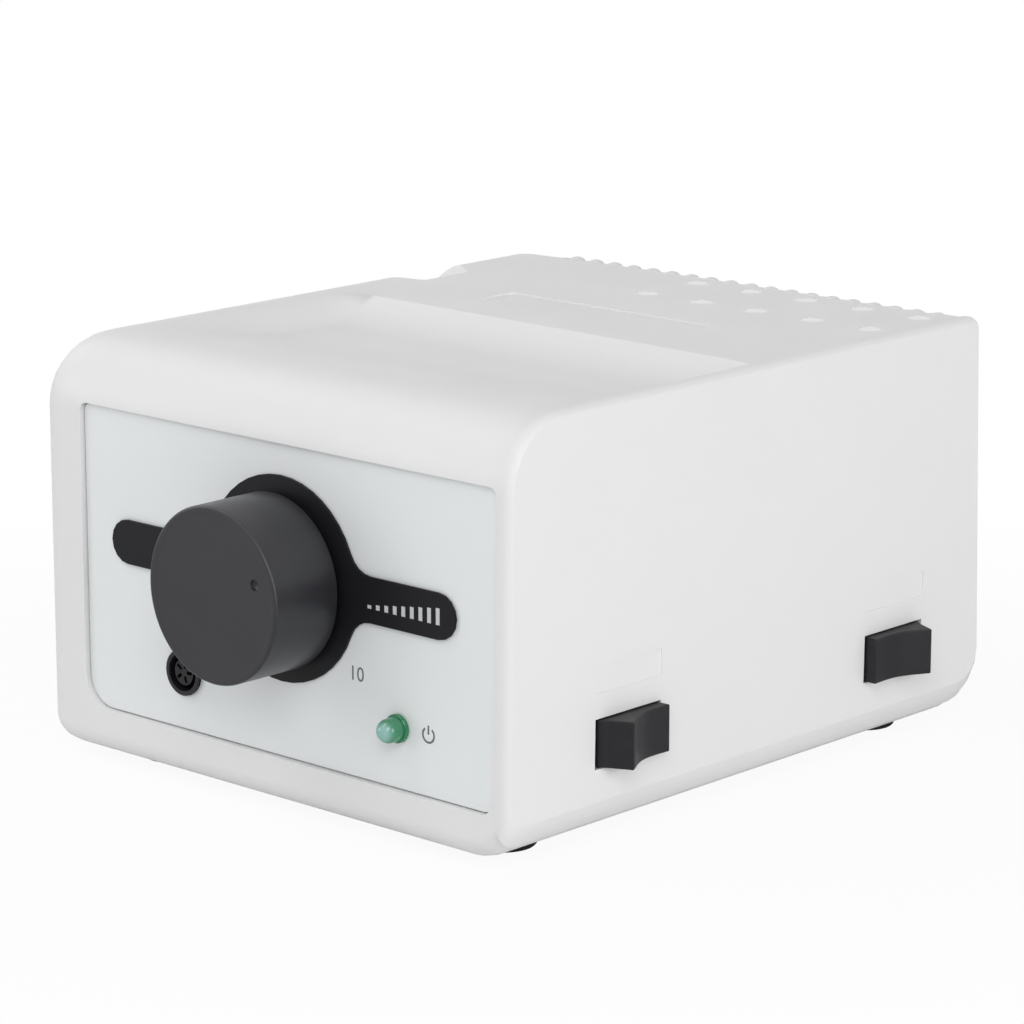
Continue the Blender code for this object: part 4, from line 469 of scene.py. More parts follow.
# Finishes


def linear(code: str) -> tuple[float, float, float, float]:
    """Turns an sRGB hex colour into linear light.

    Args:
        code: Six hex digits.

    Returns:
        Red, green, blue and an alpha of 1.
    """
    red, green, blue = (linear_share(byte / BYTE) for byte in bytes.fromhex(code))
    return red, green, blue, 1.0


def linear_share(value: float) -> float:
    """One sRGB channel, from 0 to 1, as linear light."""
    if value <= SRGB_KNEE:
        return value / SRGB_SLOPE
    return ((value + SRGB_OFFSET) / (1 + SRGB_OFFSET)) ** SRGB_POWER


@dataclass(frozen=True)
class Nodes:
    """The nodes of a material or of the world.

    Attributes:
        tree: Where they are added.
    """

    tree: bpy.types.NodeTree

    @property
    def shader(self) -> bpy.types.Node:
        """The main shader that a new material has."""
        return self.tree.nodes["Principled BSDF"]

    def add(
        self,
        kind: str,
        settings: dict[str | int, object] | None = None,
        links: dict[str | int, bpy.types.NodeSocket] | None = None,
    ) -> bpy.types.Node:
        """Adds a node with its settings and its incoming links.

        Args:
            kind: The node's type name, without ShaderNode.
            settings: Values by property, or by input name or number where no property fits.
            links: Output sockets by the name or number of the input that they feed.

        Returns:
            The node.
        """
        node = self.tree.nodes.new("ShaderNode" + kind)
        for key, value in (settings or {}).items():
            if isinstance(key, str) and hasattr(node, key):
                setattr(node, key, value)
            else:
                node.inputs[key].default_value = value
        for key, socket in (links or {}).items():
            self.tree.links.new(socket, node.inputs[key])
        return node

    def set(self, name: str, value: float) -> None:
        """Sets an input of the main shader."""
        self.shader.inputs[name].default_value = value

    def feed(self, name: str, socket: bpy.types.NodeSocket) -> None:
        """Links an output socket to an input of the main shader."""
        self.tree.links.new(socket, self.shader.inputs[name])

    def place(self) -> bpy.types.NodeSocket:
        """Object coordinates, which are the box's own in metres."""
        return self.add("TexCoord").outputs["Object"]

    def spread(
        self, value: bpy.types.NodeSocket, settings: dict[str, object]
    ) -> bpy.types.NodeSocket:
        """Maps a value from one range to another."""
        return self.add("MapRange", settings, {"Value": value}).outputs["Result"]

    def blend(
        self, share: bpy.types.NodeSocket, low: tuple[float, ...], high: tuple[float, ...]
    ) -> None:
        """Feeds the main shader's colour with a blend of two.

        Args:
            share: How far towards the second colour each point is.
            low: The first colour.
            high: The second colour.
        """
        settings = {"data_type": "RGBA", MIX_LOW: low, MIX_HIGH: high}
        mix = self.add("Mix", settings, {MIX_SHARE: share})
        self.feed("Base Color", mix.outputs[MIX_RESULT])


@dataclass(frozen=True)
class Finish:
    """A surface: its colour, its gloss and the fine texture that its making left.

    Attributes:
        name: The material's name.
        slot: The record's material slot.
        colour: sRGB hex.
        roughness: Of the clean surface.
        metallic: 1 for bare metal.
        grain: Size of the texture in millimetres.
        relief: Depth of the texture in millimetres.
        drift: How much the colour varies, as a share.
        patch: Size of the colour's variation in millimetres.
        gloss_drift: How much the roughness varies.
        specular: The shader's specular level, 0.5 for what the IOR gives.
    """

    name: str
    slot: str
    colour: str
    roughness: float = 0.45
    metallic: float = 0.0
    grain: float = 0.5
    relief: float = 0.01
    drift: float = 0.03
    patch: float = 18.0
    gloss_drift: float = 0.06
    specular: float = 0.5

    def material(self) -> bpy.types.Material:
        """The Blender material, made once."""
        found = bpy.data.materials.get(self.name)
        if found and found.get("made_here"):
            return found
        material = bpy.data.materials.new(self.name)
        material["made_here"] = True
        material.use_nodes = True
        self.dress(Nodes(material.node_tree))
        return material

    def dress(self, nodes: Nodes) -> None:
        """Sets the shader, and links colour, roughness and bump to it.

        Args:
            nodes: The material's.
        """
        nodes.set("Metallic", self.metallic)
        nodes.set("Specular IOR Level", self.specular)
        settings = {"Scale": 1 / (self.patch * MM), "Detail": CLOUD_DETAIL}
        cloud = nodes.add("TexNoise", settings, {"Vector": nodes.place()}).outputs["Fac"]
        self.link_colour(nodes, cloud)
        self.link_roughness(nodes, cloud)
        self.link_bump(nodes)

    def link_colour(self, nodes: Nodes, share: bpy.types.NodeSocket) -> None:
        """Lets the colour drift a little lighter and darker.

        Args:
            nodes: The material's.
            share: How far towards the lighter colour each point is.
        """
        red, green, blue, _ = linear(self.colour)
        dark = [value * (1 - self.drift) for value in (red, green, blue)]
        light = [min(value * (1 + self.drift), 1.0) for value in (red, green, blue)]
        nodes.blend(share, (*dark, 1.0), (*light, 1.0))

    def link_roughness(self, nodes: Nodes, share: bpy.types.NodeSocket) -> None:
        """Lets the gloss vary as handling leaves it.

        Args:
            nodes: The material's.
            share: How dull each point is.
        """
        settings = {
            "From Min": CLOUD_LOW,
            "From Max": CLOUD_HIGH,
            "To Min": max(self.roughness - self.gloss_drift, LEAST_ROUGHNESS),
            "To Max": min(self.roughness + self.gloss_drift, 1.0),
        }
        nodes.feed("Roughness", nodes.spread(share, settings))

    def link_bump(self, nodes: Nodes) -> None:
        """Raises the fine texture by its real depth.

        Args:
            nodes: The material's.
        """
        settings = {"Strength": 1.0, "Distance": self.relief * MM}
        bump = nodes.add("Bump", settings, {"Height": self.texture(nodes)})
        nodes.feed("Normal", bump.outputs["Normal"])

    def texture(self, nodes: Nodes) -> bpy.types.NodeSocket:
        """The height of the fine texture, from 0 to 1.

        Args:
            nodes: The material's.

        Returns:
            The output socket.
        """
        settings = {
            "Scale": 1 / (self.grain * MM),
            "Detail": GRAIN_DETAIL,
            "Roughness": GRAIN_ROUGHNESS,
        }
        return nodes.add("TexNoise", settings, {"Vector": nodes.place()}).outputs["Fac"]


# Injection-moulded ABS from a spark-eroded mould: a satin white with a fine even grain.
WHITE_ABS = Finish(
    "white_moulded_abs",
    "white_abs",
    "E9E9E9",
    0.42,
    grain=0.45,
    relief=0.006,
    drift=0.006,
    specular=0.3,
)
# The same ABS where a polished mould pin stood: a small mirror-like floor in each round dimple. Its
# gloss is real, but its colour is painted lighter than the housing's as a painted highlight.
POLISHED_ABS_PAINTED_HIGHLIGHT = Finish(
    "polished_abs_painted_highlight", "white_abs", "F2F2F2", 0.12, relief=0.001, drift=0.004, gloss_drift=0.03
)
# Screen-printed polycarbonate sheet, pale with a faint cool green tint, smoother than the housing.
PANEL_SHEET = Finish(
    "printed_polycarbonate_sheet",
    "panel_print",
    "EBEEEF",
    0.36,
    grain=0.3,
    relief=0.003,
    drift=0.006,
)
# Black ink under a matt overlay: deep, even, and dull enough to hide the room.
BLACK_SHEET = Finish(
    "black_printed_sheet", "black_label", "1B1B1E", grain=0.3, relief=0.003, specular=0.16
)
# Charcoal ABS turned satin by a fine mould texture.
KNOB_ABS = Finish(
    "charcoal_moulded_abs", "knob_black", "28282C", 0.38, grain=0.3, relief=0.005, specular=0.45
)
# Black nylon: a slightly waxy moulded surface with a fine spark texture.
BLACK_NYLON = Finish(
    "black_moulded_nylon",
    "black_plastic",
    "1D1D20",
    0.46,
    grain=0.35,
    relief=0.02,
    drift=0.05,
    specular=0.3,
)
# Black rubber: dull, with a soft bloom.
RUBBER = Finish(
    "black_moulded_rubber",
    "rubber",
    "161616",
    0.75,
    grain=0.6,
    relief=0.02,
    drift=0.1,
    specular=0.3,
)
# Grey screen ink on the panel, and pale grey ink on the badge: thin, flat and dull.
GREY_INK = Finish("grey_screen_ink", "panel_print", "6A6B6F", 0.55, grain=0.2, relief=0.002)
PALE_INK = Finish("pale_screen_ink", "panel_print", "C9CACC", 0.55, grain=0.2, relief=0.002)
# Bright turned steel.
STEEL = Finish(
    "turned_steel", "steel", "C8C8CA", 0.3, 1.0, grain=0.2, relief=0.002, drift=0.05, patch=4
)
# Zinc-plated sheet and screws: pale, slightly mottled grey.
ZINC = Finish(
    "zinc_plated_steel",
    "zinc_steel",
    "BFC2C4",
    0.38,
    1.0,
    grain=0.8,
    relief=0.004,
    drift=0.12,
    patch=5,
)
# Yellow polyester tape over the winding.
TAPE = Finish("polyester_tape", "copper_tape", "D9B23A", 0.35, grain=1.2, drift=0.08, patch=9)
# Glass-epoxy board under green solder mask.
BOARD = Finish(
    "solder_mask_on_epoxy",
    "board_green",
    "1F6B38",
    0.35,
    grain=0.4,
    relief=0.004,
    drift=0.1,
    patch=3,
)
# Shrunk vinyl sleeve on a capacitor.
SLEEVE = Finish("vinyl_sleeve", "capacitor_sleeve", "1B2550", 0.35, relief=0.003, drift=0.08)
# Turned brass.
BRASS = Finish(
    "turned_brass", "brass", "D2B36C", 0.3, 1.0, grain=0.25, relief=0.002, drift=0.06, patch=4
)


@dataclass(frozen=True)
class ClearFinish(Finish):
    """Something that light passes through.

    Attributes:
        share: How much light passes.
        ior: Of the material.
    """

    share: float = 0.6
    ior: float = 1.49

    def dress(self, nodes: Nodes) -> None:
        """Adds the light that passes through to the plain finish.

        Args:
            nodes: The material's.
        """
        super().dress(nodes)
        nodes.set("Transmission Weight", self.share)
        nodes.set("IOR", self.ior)


@dataclass(frozen=True)
class LensPaintedShadeFinish(ClearFinish):
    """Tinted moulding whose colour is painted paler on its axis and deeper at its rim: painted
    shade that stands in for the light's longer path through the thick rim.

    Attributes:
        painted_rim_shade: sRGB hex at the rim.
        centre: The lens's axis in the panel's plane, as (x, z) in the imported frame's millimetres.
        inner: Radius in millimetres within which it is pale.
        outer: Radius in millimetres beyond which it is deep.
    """

    painted_rim_shade: str = "26905C"
    centre: tuple[float, float] = (0.0, 0.0)
    inner: float = 1.3
    outer: float = 2.8

    def link_colour(self, nodes: Nodes, share: bpy.types.NodeSocket) -> None:
        """Blends from the pale middle to the deep rim, as painted shade.

        Args:
            nodes: The material's.
            share: Not used, as the colour follows the distance from the axis.
        """
        x, z = self.centre
        settings = {"vector_type": "POINT", "Location": (-x * MM, 0, -z * MM), "Scale": (1, 0, 1)}
        flat = nodes.add("Mapping", settings, {"Vector": nodes.place()})
        away = nodes.add("VectorMath", {"operation": "LENGTH"}, {0: flat.outputs[0]})
        limits = {
            "interpolation_type": "SMOOTHSTEP",
            "From Min": self.inner * MM,
            "From Max": self.outer * MM,
        }
        reach = nodes.spread(away.outputs["Value"], limits)
        # Painted shade: the colour deepens with the distance from the lens's axis.
        nodes.blend(reach, linear(self.colour), linear(self.painted_rim_shade))


@dataclass(frozen=True)
class LayeredFinish(Finish):
    """A surface with even parallel lines, such as stacked sheets or a tool's passes.

    Attributes:
        pitch: Distance between lines in millimetres.
        across: The axis that the lines are stacked along.
    """

    pitch: float = 0.5
    across: str = "X"

    def texture(self, nodes: Nodes) -> bpy.types.NodeSocket:
        """Waves with one crest per line.

        Args:
            nodes: The material's.

        Returns:
            The output socket.
        """
        settings = {
            "wave_type": "BANDS",
            "bands_direction": self.across,
            "Scale": WAVE_UNIT / (self.pitch * MM),
            "Distortion": WAVE_DISTORTION,
        }
        return nodes.add("TexWave", settings, {"Vector": nodes.place()}).outputs["Fac"]


# Varnished silicon-steel laminations of 0.5 mm, stacked from side to side.
CORE_STEEL = LayeredFinish(
    "varnished_laminations", "core_steel", "5A5A5C", 0.5, 0.8, relief=0.05, drift=0.15
)
# Extruded aluminium, with the die's fine lines.
ALUMINIUM = LayeredFinish(
    "extruded_aluminium",
    "aluminium",
    "C9CBCD",
    0.4,
    1.0,
    relief=0.003,
    drift=0.06,
    pitch=0.3,
    across="Y",
)
# Acrylic moulded in milky green, with painted shade: its colour is painted pale on its axis and
# deep green round its rim.
GREEN_LENS = LensPaintedShadeFinish(
    "milky_green_acrylic",
    "green_lens",
    "A2D8CE",
    0.1,
    relief=0.002,
    share=0.3,
    specular=0.7,
    centre=(36.235, 25.5),
)
# Soda glass of the fuse.
GLASS = ClearFinish("fuse_glass", "glass", "E8F0F0", 0.04, relief=0.001, drift=0.01, share=0.95)

SLOT_FINISHES = {
    finish.slot: finish
    for finish in (
        WHITE_ABS,
        PANEL_SHEET,
        BLACK_SHEET,
        KNOB_ABS,
        BLACK_NYLON,
        GREEN_LENS,
        RUBBER,
        STEEL,
        ZINC,
        CORE_STEEL,
        TAPE,
        ALUMINIUM,
        BOARD,
        SLEEVE,
        BRASS,
        GLASS,
    )
}


# The box's sub-assemblies


@dataclass
class Assembly:
    """Something that is built and dressed at a place in the frame."""

    place: Place
    nodes: dict[str, bpy.types.Object]

    def copy_of(
        self, node: str, name: str, finish: Finish, body: Body = Body.BOX, bevel: float = 0.0
    ) -> None:
        """Adds a smooth copy of a frame node, which replaces it.

        Args:
            node: The frame node.
            name: The new piece's name.
            finish: What it is made of.
            body: The body that it rides on.
            bevel: Width of its eased edges in millimetres.
        """
        obj = smoothed_copy(name, self.nodes[node])
        if bevel:
            soften(obj, bevel)
        settle(obj, finish, body, node)


@dataclass
class Housing(Assembly):
    """The white housing and its flat right side."""

    deck: float = 92.1
    floor_sink: float = 0.1
    dimple_radius: float = 2.65
    dimple_gap: float = 0.04
    dimple_pitch: float = 15.65
    first_x: float = 61.5
    rows: tuple[float, ...] = (122.8, 140.2)
    per_row: int = 5
    floor_rise: float = 0.08
    floor_profile: tuple[tuple[float, float], ...] = (
        (1.0, 0.0),
        (1.0, 0.25),
        (0.9, 0.6),
        (0.6, 0.9),
        (0.2, 1.0),
    )
    rib_count: int = 19
    rib_first_x: float = 61.52
    rib_pitch: float = 5.84
    rib_y: float = 146.2
    rib_top: float = 92.44
    rib_height: float = 1.44
    rib_half_length: float = 3.0
    rib_half_width: float = 1.45
    rib_steps: int = 8
    segments: int = 32
    vents_left: float = -49.0
    vents_right: float = 61.0
    vents_low: float = 69.0
    vents_front: float = 146.3
    vent_edge: float = 0.45
    vent_edge_steps: int = 2
    vent_sharpness: float = math.radians(50)
    back_foot: float = 153.923
    back_lean: float = 0.0491
    skin: float = 1.0

    def build(self) -> None:
        """Builds and dresses both mouldings and the polished floors of the round dimples, which
        carry a painted highlight.
        """
        self.build_shell()
        self.copy_of("right_side_cover", "side_cover_skin", WHITE_ABS)
        self.add_dimple_floors()
        self.add_vent_ribs()

    def build_shell(self) -> None:
        """The housing, with the edges of its vents rounded as the mould leaves them."""
        shell = smoothed_copy("housing_shell", self.nodes["main_housing"])
        with Editing(shell) as edit:
            edit.select_sharp(self.vent_sharpness, self.round_a_vent)
            bpy.ops.mesh.bevel(
                offset=self.vent_edge * MM,
                offset_type="OFFSET",
                segments=self.vent_edge_steps,
                affect="EDGES",
            )
            edit.select_all()
            bpy.ops.mesh.remove_doubles(threshold=MERGE_DISTANCE)
            bpy.ops.mesh.dissolve_degenerate(threshold=MERGE_DISTANCE)
        settle(shell, WHITE_ABS, Body.BOX, "main_housing")

    def round_a_vent(self, middle: Vector) -> bool:
        """Whether a point lies on the housing's outside, at a vent.

        Args:
            middle: The point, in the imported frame's metres.

        Returns:
            True where an edge there is to be rounded.
        """
        x, y, z = (middle - self.place.shift) / MM
        if not self.vents_left < x < self.vents_right or z < self.vents_low:
            return False
        on_deck = z > self.deck - self.skin and y > self.vents_front
        on_back = y > self.back_foot - self.back_lean * z - self.skin
        return on_deck or on_back

    def add_dimple_floors(self) -> None:
        """One slightly domed floor, copied into each dimple, coloured lighter than the housing as a
        painted highlight.
        """
        radius, rise = self.dimple_radius - self.dimple_gap, self.floor_rise
        rings = [(radius * out, rise * up) for out, up in self.floor_profile]
        first = lathe("dimple_floor", rings, self.segments, Vector())
        for row, y in enumerate(self.rows):
            for k in range(self.per_row):
                x = self.first_x - self.dimple_pitch * k
                place = self.place.at(x, y, self.deck - self.floor_sink)
                floor = copied(first, f"dimple_floor_{row + 1}_{k + 1}", place)
                # Painted highlight: each floor's colour is lighter than the housing's own white.
                settle(floor, POLISHED_ABS_PAINTED_HIGHLIGHT, Body.BOX)
        bpy.data.objects.remove(first)

    def add_vent_ribs(self) -> None:
        """One low rounded rib, copied onto each fin between the vents."""
        steps = [math.pi / 2 * k / self.rib_steps for k in range(self.rib_steps)]
        rings = [
            (self.rib_half_length * math.cos(a), self.rib_height * math.sin(a)) for a in steps
        ]
        first = lathe("vent_rib", rings, self.segments, Vector())
        with Editing(first) as edit:
            edit.select_all()
            narrow = self.rib_half_width / self.rib_half_length
            bpy.ops.transform.resize(value=(narrow, 1, 1), center_override=(0, 0, 0))
        for k in range(self.rib_count):
            x = self.rib_first_x - self.rib_pitch * k
            place = self.place.at(x, self.rib_y, self.rib_top - self.rib_height)
            rib = copied(first, f"vent_rib_{k + 1}", place)
            settle(rib, WHITE_ABS, Body.BOX)
        bpy.data.objects.remove(first)


@dataclass
class FrontPanel(Assembly):
    """The printed plate, the badge round the knob, and the plain marks."""

    face: float = 1.2
    plate_edge: float = 0.15
    badge_face: float = 0.45
    badge_edge: float = 0.12
    ink: float = 0.05
    text_size: float = 4.3
    knob_x: float = 6.6
    number_z: float = 34.3
    number_reach: float = 20.9
    symbol_x: float = 47.4
    symbol_z: float = 25.6
    symbol_radius: float = 1.75
    symbol_line: float = 0.42
    symbol_gap: float = math.radians(38)
    symbol_bar_foot: float = 0.1
    bar_count: int = 9
    bar_first_x: float = 31.5
    bar_pitch: float = 2.35
    bar_width: float = 1.0
    bar_base_z: float = 48.9
    bar_least: float = 0.7
    bar_growth: float = 0.34
    arc_steps: int = 20

    def build(self) -> None:
        """Builds and dresses the panel's pieces."""
        self.copy_of("front_panel", "panel_plate", PANEL_SHEET, bevel=self.plate_edge)
        self.copy_of("knob_badge", "badge_plate", BLACK_SHEET, bevel=self.badge_edge)
        self.add_number("mark_zero", "0", self.knob_x - self.number_reach)
        self.add_number("mark_ten", "10", self.knob_x + self.number_reach)
        self.add_power_symbol()
        self.add_speed_bars()

    def print_on(self, obj: bpy.types.Object, finish: Finish, face: float) -> None:
        """Stands a flat mark up and lays it on a face of the front.

        Args:
            obj: The mark, drawn about the box's middle in its own X and Y.
            finish: Its ink.
            face: The face's depth behind the housing's front plane, in millimetres.
        """
        obj.location = self.place.at(0, face, 0)
        obj.rotation_euler = Facing.FRONT.value
        settle(obj, finish, Body.BOX)

    def add_number(self, name: str, text: str, x: float) -> None:
        """A plain number at one end of the knob's turn.

        Args:
            name: The piece's name.
            text: The digits.
            x: Its middle in millimetres.
        """
        bpy.ops.object.text_add()
        obj = made(name)
        obj.data.body = text
        obj.data.size = self.text_size * MM
        obj.data.align_x = "CENTER"
        obj.data.align_y = "CENTER"
        obj.data.extrude = self.ink / 2 * MM
        bpy.ops.object.convert(target="MESH")
        obj = made(name)
        with Editing(obj) as edit:
            edit.select_all()
            bpy.ops.transform.translate(value=(x * MM, self.number_z * MM, 0))
            bpy.ops.mesh.remove_doubles(threshold=MERGE_DISTANCE)
            edit.face_outwards()
        self.print_on(obj, GREY_INK, self.face)

    def add_power_symbol(self) -> None:
        """A broken ring with a bar in its gap, beside the green light."""
        outer, inner = self.symbol_radius, self.symbol_radius - self.symbol_line
        start = math.pi / 2 + self.symbol_gap
        sweep = 2 * math.pi - 2 * self.symbol_gap
        angles = [start + sweep * k / self.arc_steps for k in range(self.arc_steps + 1)]
        points = [(outer * math.cos(a), outer * math.sin(a)) for a in angles]
        points += [(inner * math.cos(a), inner * math.sin(a)) for a in reversed(angles)]
        ring = traced("power_symbol", self.moved(points), self.ink)
        half = self.symbol_line / 2
        foot, head = self.symbol_bar_foot, outer + half
        bar = [(-half, foot), (half, foot), (half, head), (-half, head)]
        weld(ring, [traced("power_bar", self.moved(bar), self.ink)])
        self.print_on(ring, GREY_INK, self.face)

    def moved(self, points: Sequence[tuple[float, float]]) -> list[tuple[float, float]]:
        """Points round the power symbol's middle, as points of the front."""
        return [(self.symbol_x + x, self.symbol_z + z) for x, z in points]

    def add_speed_bars(self) -> None:
        """A plain scale of rising bars on the badge's right arm."""
        bars = []
        for k in range(self.bar_count):
            left = self.bar_first_x + self.bar_pitch * k
            low, high = self.bar_base_z, self.bar_base_z + self.bar_least + self.bar_growth * k
            right = left + self.bar_width
            outline = [(left, low), (right, low), (right, high), (left, high)]
            bars.append(traced(f"speed_bar_{k + 1}", outline, self.ink))
        weld(bars[0], bars[1:])
        bars[0].name = bars[0].data.name = "speed_scale"
        self.print_on(bars[0], PALE_INK, self.badge_face)


@dataclass
class SpeedKnob(Assembly):
    """The charcoal knob with its pointer dimple, shaft bore and grub screw hole."""

    x: float = 6.6
    z: float = 50.6
    back: float = 1.2
    face: float = 18.6
    radius: float = 18.4
    edge: float = 0.55
    edge_steps: int = 5
    hollow: float = 14.0
    hollow_depth: float = 7.0
    bore: float = 3.15
    bore_depth: float = 14.0
    pointer_out: float = 13.0
    pointer_angle: float = math.radians(19.5)
    pointer_radius: float = 1.15
    pointer_depth: float = 0.9
    pointer_floor: float = 0.25
    pointer_wall: float = 0.8
    pointer_wall_depth: float = 0.7
    pointer_lip: float = 0.1
    pointer_flare: float = 0.2
    grub_radius: float = 1.65
    grub_from_face: float = 6.4
    draft: float = 0.2
    ease: float = 0.4
    face_dip: float = 0.08
    rim_width: float = 1.6
    rim_step: float = 0.3
    middle: float = 2.0
    segments: int = 128
    hole_segments: int = 24

    def rings(self) -> list[tuple[float, float]]:
        """The knob's outline, from the floor of its bore back to its face."""
        edge, radius, face = self.edge, self.radius, self.face
        floor = self.back + self.hollow_depth
        outline = [
            (self.bore, self.back + self.bore_depth),
            (self.bore, floor),
            (self.hollow - self.draft, floor),
            (self.hollow, self.back + self.ease),
            (self.hollow + self.ease, self.back),
            (radius - self.ease, self.back),
            (radius, self.back + self.ease),
            (radius, face - edge),
        ]
        for k in range(1, self.edge_steps + 1):
            angle = math.pi / 2 * k / self.edge_steps
            across, up = edge * math.cos(angle), edge * math.sin(angle)
            outline.append((radius - edge + across, face - edge + up))
        rim, dip = radius - self.rim_width, face - self.face_dip
        return outline + [(rim, face), (rim - self.rim_step, dip), (self.middle, dip)]

    def build(self) -> None:
        """Builds and dresses the knob."""
        place = self.place.at(self.x, 0, self.z)
        knob = lathe("knob_shell", self.rings(), self.segments, place, Facing.FRONT)
        carve(knob, self.pointer_cutter())
        carve(knob, self.grub_cutter())
        settle(knob, KNOB_ABS, Body.KNOB, "speed_knob")

    def pointer_cutter(self) -> bpy.types.Object:
        """The pointer's dimple, as the shape that it takes away."""
        radius, depth = self.pointer_radius, self.pointer_depth
        rings = [
            (radius * self.pointer_floor, self.face - depth),
            (radius * self.pointer_wall, self.face - depth * self.pointer_wall_depth),
            (radius, self.face - self.pointer_lip),
            (radius + self.pointer_flare, self.face + CUTTER_OVERRUN),
        ]
        x = self.x + self.pointer_out * math.cos(self.pointer_angle)
        z = self.z + self.pointer_out * math.sin(self.pointer_angle)
        place = self.place.at(x, 0, z)
        return lathe("pointer_cutter", rings, self.hole_segments, place, Facing.FRONT)

    def grub_cutter(self) -> bpy.types.Object:
        """The grub screw's hole, from the knob's axis straight down."""
        rings = [(self.grub_radius, 0.0), (self.grub_radius, self.radius + CUTTER_OVERRUN)]
        place = self.place.at(self.x, self.grub_from_face - self.face, self.z)
        return lathe("grub_cutter", rings, self.hole_segments, place, Facing.DOWN)


@dataclass
class PowerLight(Assembly):
    """The green panel light."""

    x: float = 39.3
    z: float = 25.5
    seat: float = -1.05
    flange_radius: float = 2.95
    flange: float = 1.0
    radius: float = 2.5
    reach: float = 5.4
    ease: float = 0.12
    stem_radius: float = 2.1
    stem: float = 7.3
    segments: int = 48
    dome_steps: int = 10

    def rings(self) -> list[tuple[float, float]]:
        """The lens's outline from the end of its stem to the top of its dome."""
        seat, flange = self.seat, self.seat + self.flange
        dome = seat + self.reach - self.radius
        outline = [
            (self.stem_radius, seat - self.stem),
            (self.stem_radius, seat),
            (self.flange_radius - self.ease, seat),
            (self.flange_radius, seat + self.ease),
            (self.flange_radius, flange - self.ease),
            (self.flange_radius - self.ease, flange),
            (self.radius, flange),
        ]
        for k in range(self.dome_steps):
            angle = math.pi / 2 * k / self.dome_steps
            outline.append((self.radius * math.cos(angle), dome + self.radius * math.sin(angle)))
        return outline

    def build(self) -> None:
        """Builds and dresses the lens."""
        place = self.place.at(self.x, 0, self.z)
        lens = lathe("light_lens", self.rings(), self.segments, place, Facing.FRONT)
        settle(lens, GREEN_LENS, Body.BOX, "power_light_lens")


@dataclass
class MotorSocket(Assembly):
    """The black socket for the handpiece lead."""

    ring_edge: float = 0.12
    insert_edge: float = 0.08

    def build(self) -> None:
        """Builds and dresses the socket's ring and core."""
        self.copy_of("motor_socket_shell", "socket_ring", BLACK_NYLON, bevel=self.ring_edge)
        self.copy_of("motor_socket_core", "socket_insert", BLACK_NYLON, bevel=self.insert_edge)


@dataclass
class Rocker(Assembly):
    """One rocker: hollow across its middle, with a crisp crest at each end.

    Its outline is drawn about its pivot, with X outwards and Y along the side.
    """

    side: str
    body: Body
    y: float
    tilt: float = math.radians(13.3)
    x: float = 66.0998
    z: float = 22.85
    height: float = 9.9
    sink: float = 4.1
    valley_reach: float = 3.2
    crest_reach: float = 4.9
    crest_along: float = 7.7
    shoulder_along: float = 8.7
    skirt_sweep: float = math.radians(17)
    skirt_steps: int = 4
    waist: tuple[float, float] = (-2.0, 6.0)
    nose: tuple[float, float] = (-4.6, 1.6)
    roundness: float = 4.0
    valley_steps: int = 9
    edge: float = 0.3
    edge_steps: int = 3
    pin_hole: float = 1.15
    pin_segments: int = 24

    def valley(self, along: float) -> float:
        """How far out the hollow face lies.

        Args:
            along: Millimetres from the pivot, along the rocker.

        Returns:
            Millimetres out from the pivot.
        """
        base = math.hypot(self.crest_along, self.roundness) - self.roundness
        rise = (math.hypot(along, self.roundness) - self.roundness) / base
        return self.sink + self.valley_reach + (self.crest_reach - self.valley_reach) * rise

    def outline(self) -> list[tuple[float, float]]:
        """The side view, from the middle of the hollow face round to it again."""
        reach = [self.crest_along * k / self.valley_steps for k in range(self.valley_steps + 1)]
        half = [(self.valley(along), along) for along in reach]
        radius = math.hypot(self.shoulder_along, self.sink)
        shoulder = math.atan2(self.shoulder_along, self.sink)
        for k in range(self.skirt_steps + 1):
            angle = shoulder + self.skirt_sweep * k / self.skirt_steps
            half.append((radius * math.cos(angle), radius * math.sin(angle)))
        half += [self.waist, self.nose]
        return half + [(out, -along) for out, along in reversed(half[1:])]

    def build(self) -> None:
        """Builds and dresses the rocker."""
        cap = traced(f"{self.side}_rocker_cap", self.outline(), self.height)
        with Editing(cap) as edit:
            edit.select_all()
            bpy.ops.transform.translate(value=(0, 0, -self.height / 2 * MM))
        soften(cap, self.edge, self.edge_steps)
        low = -self.height / 2 - CUTTER_OVERRUN
        rings = [(self.pin_hole, low), (self.pin_hole, -low)]
        carve(cap, lathe("pin_cutter", rings, self.pin_segments, Vector()))
        cap.location = self.place.at(self.x, self.y, self.z)
        cap.rotation_euler = (0, 0, self.tilt)
        settle(cap, BLACK_NYLON, self.body, f"{self.side}_rocker")


@dataclass
class Feet(Assembly):
    """Four round rubber feet, each with a sunk hole for its screw."""

    radius: float = 7.0
    height: float = 2.2
    edge: float = 0.3
    hole: float = 1.75
    sink: float = 3.6
    sink_depth: float = 1.4
    ease: float = 0.1
    segments: int = 64
    places: tuple[tuple[str, float, float], ...] = (
        ("front_left", -42.5, 16.0),
        ("front_right", 51.1, 18.7),
        ("rear_left", -42.5, 136.3),
        ("rear_right", 51.1, 136.3),
    )

    def rings(self) -> list[tuple[float, float]]:
        """One foot's outline, from the top of its hole over the outside to the hole's other end."""
        return [
            (self.hole, self.height),
            (self.radius - self.ease, self.height),
            (self.radius, self.height - self.ease),
            (self.radius, self.edge),
            (self.radius - self.edge, 0.0),
            (self.sink + 2 * self.ease, 0.0),
            (self.sink, 2 * self.ease),
            (self.sink, self.sink_depth),
            (self.hole, self.sink_depth),
        ]

    def build(self) -> None:
        """Builds and dresses the feet."""
        for name, x, y in self.places:
            place = self.place.at(x, y, 0)
            foot = lathe(f"{name}_rubber_foot", self.rings(), self.segments, place, through=True)
            settle(foot, RUBBER, Body.BOX, f"{name}_foot")


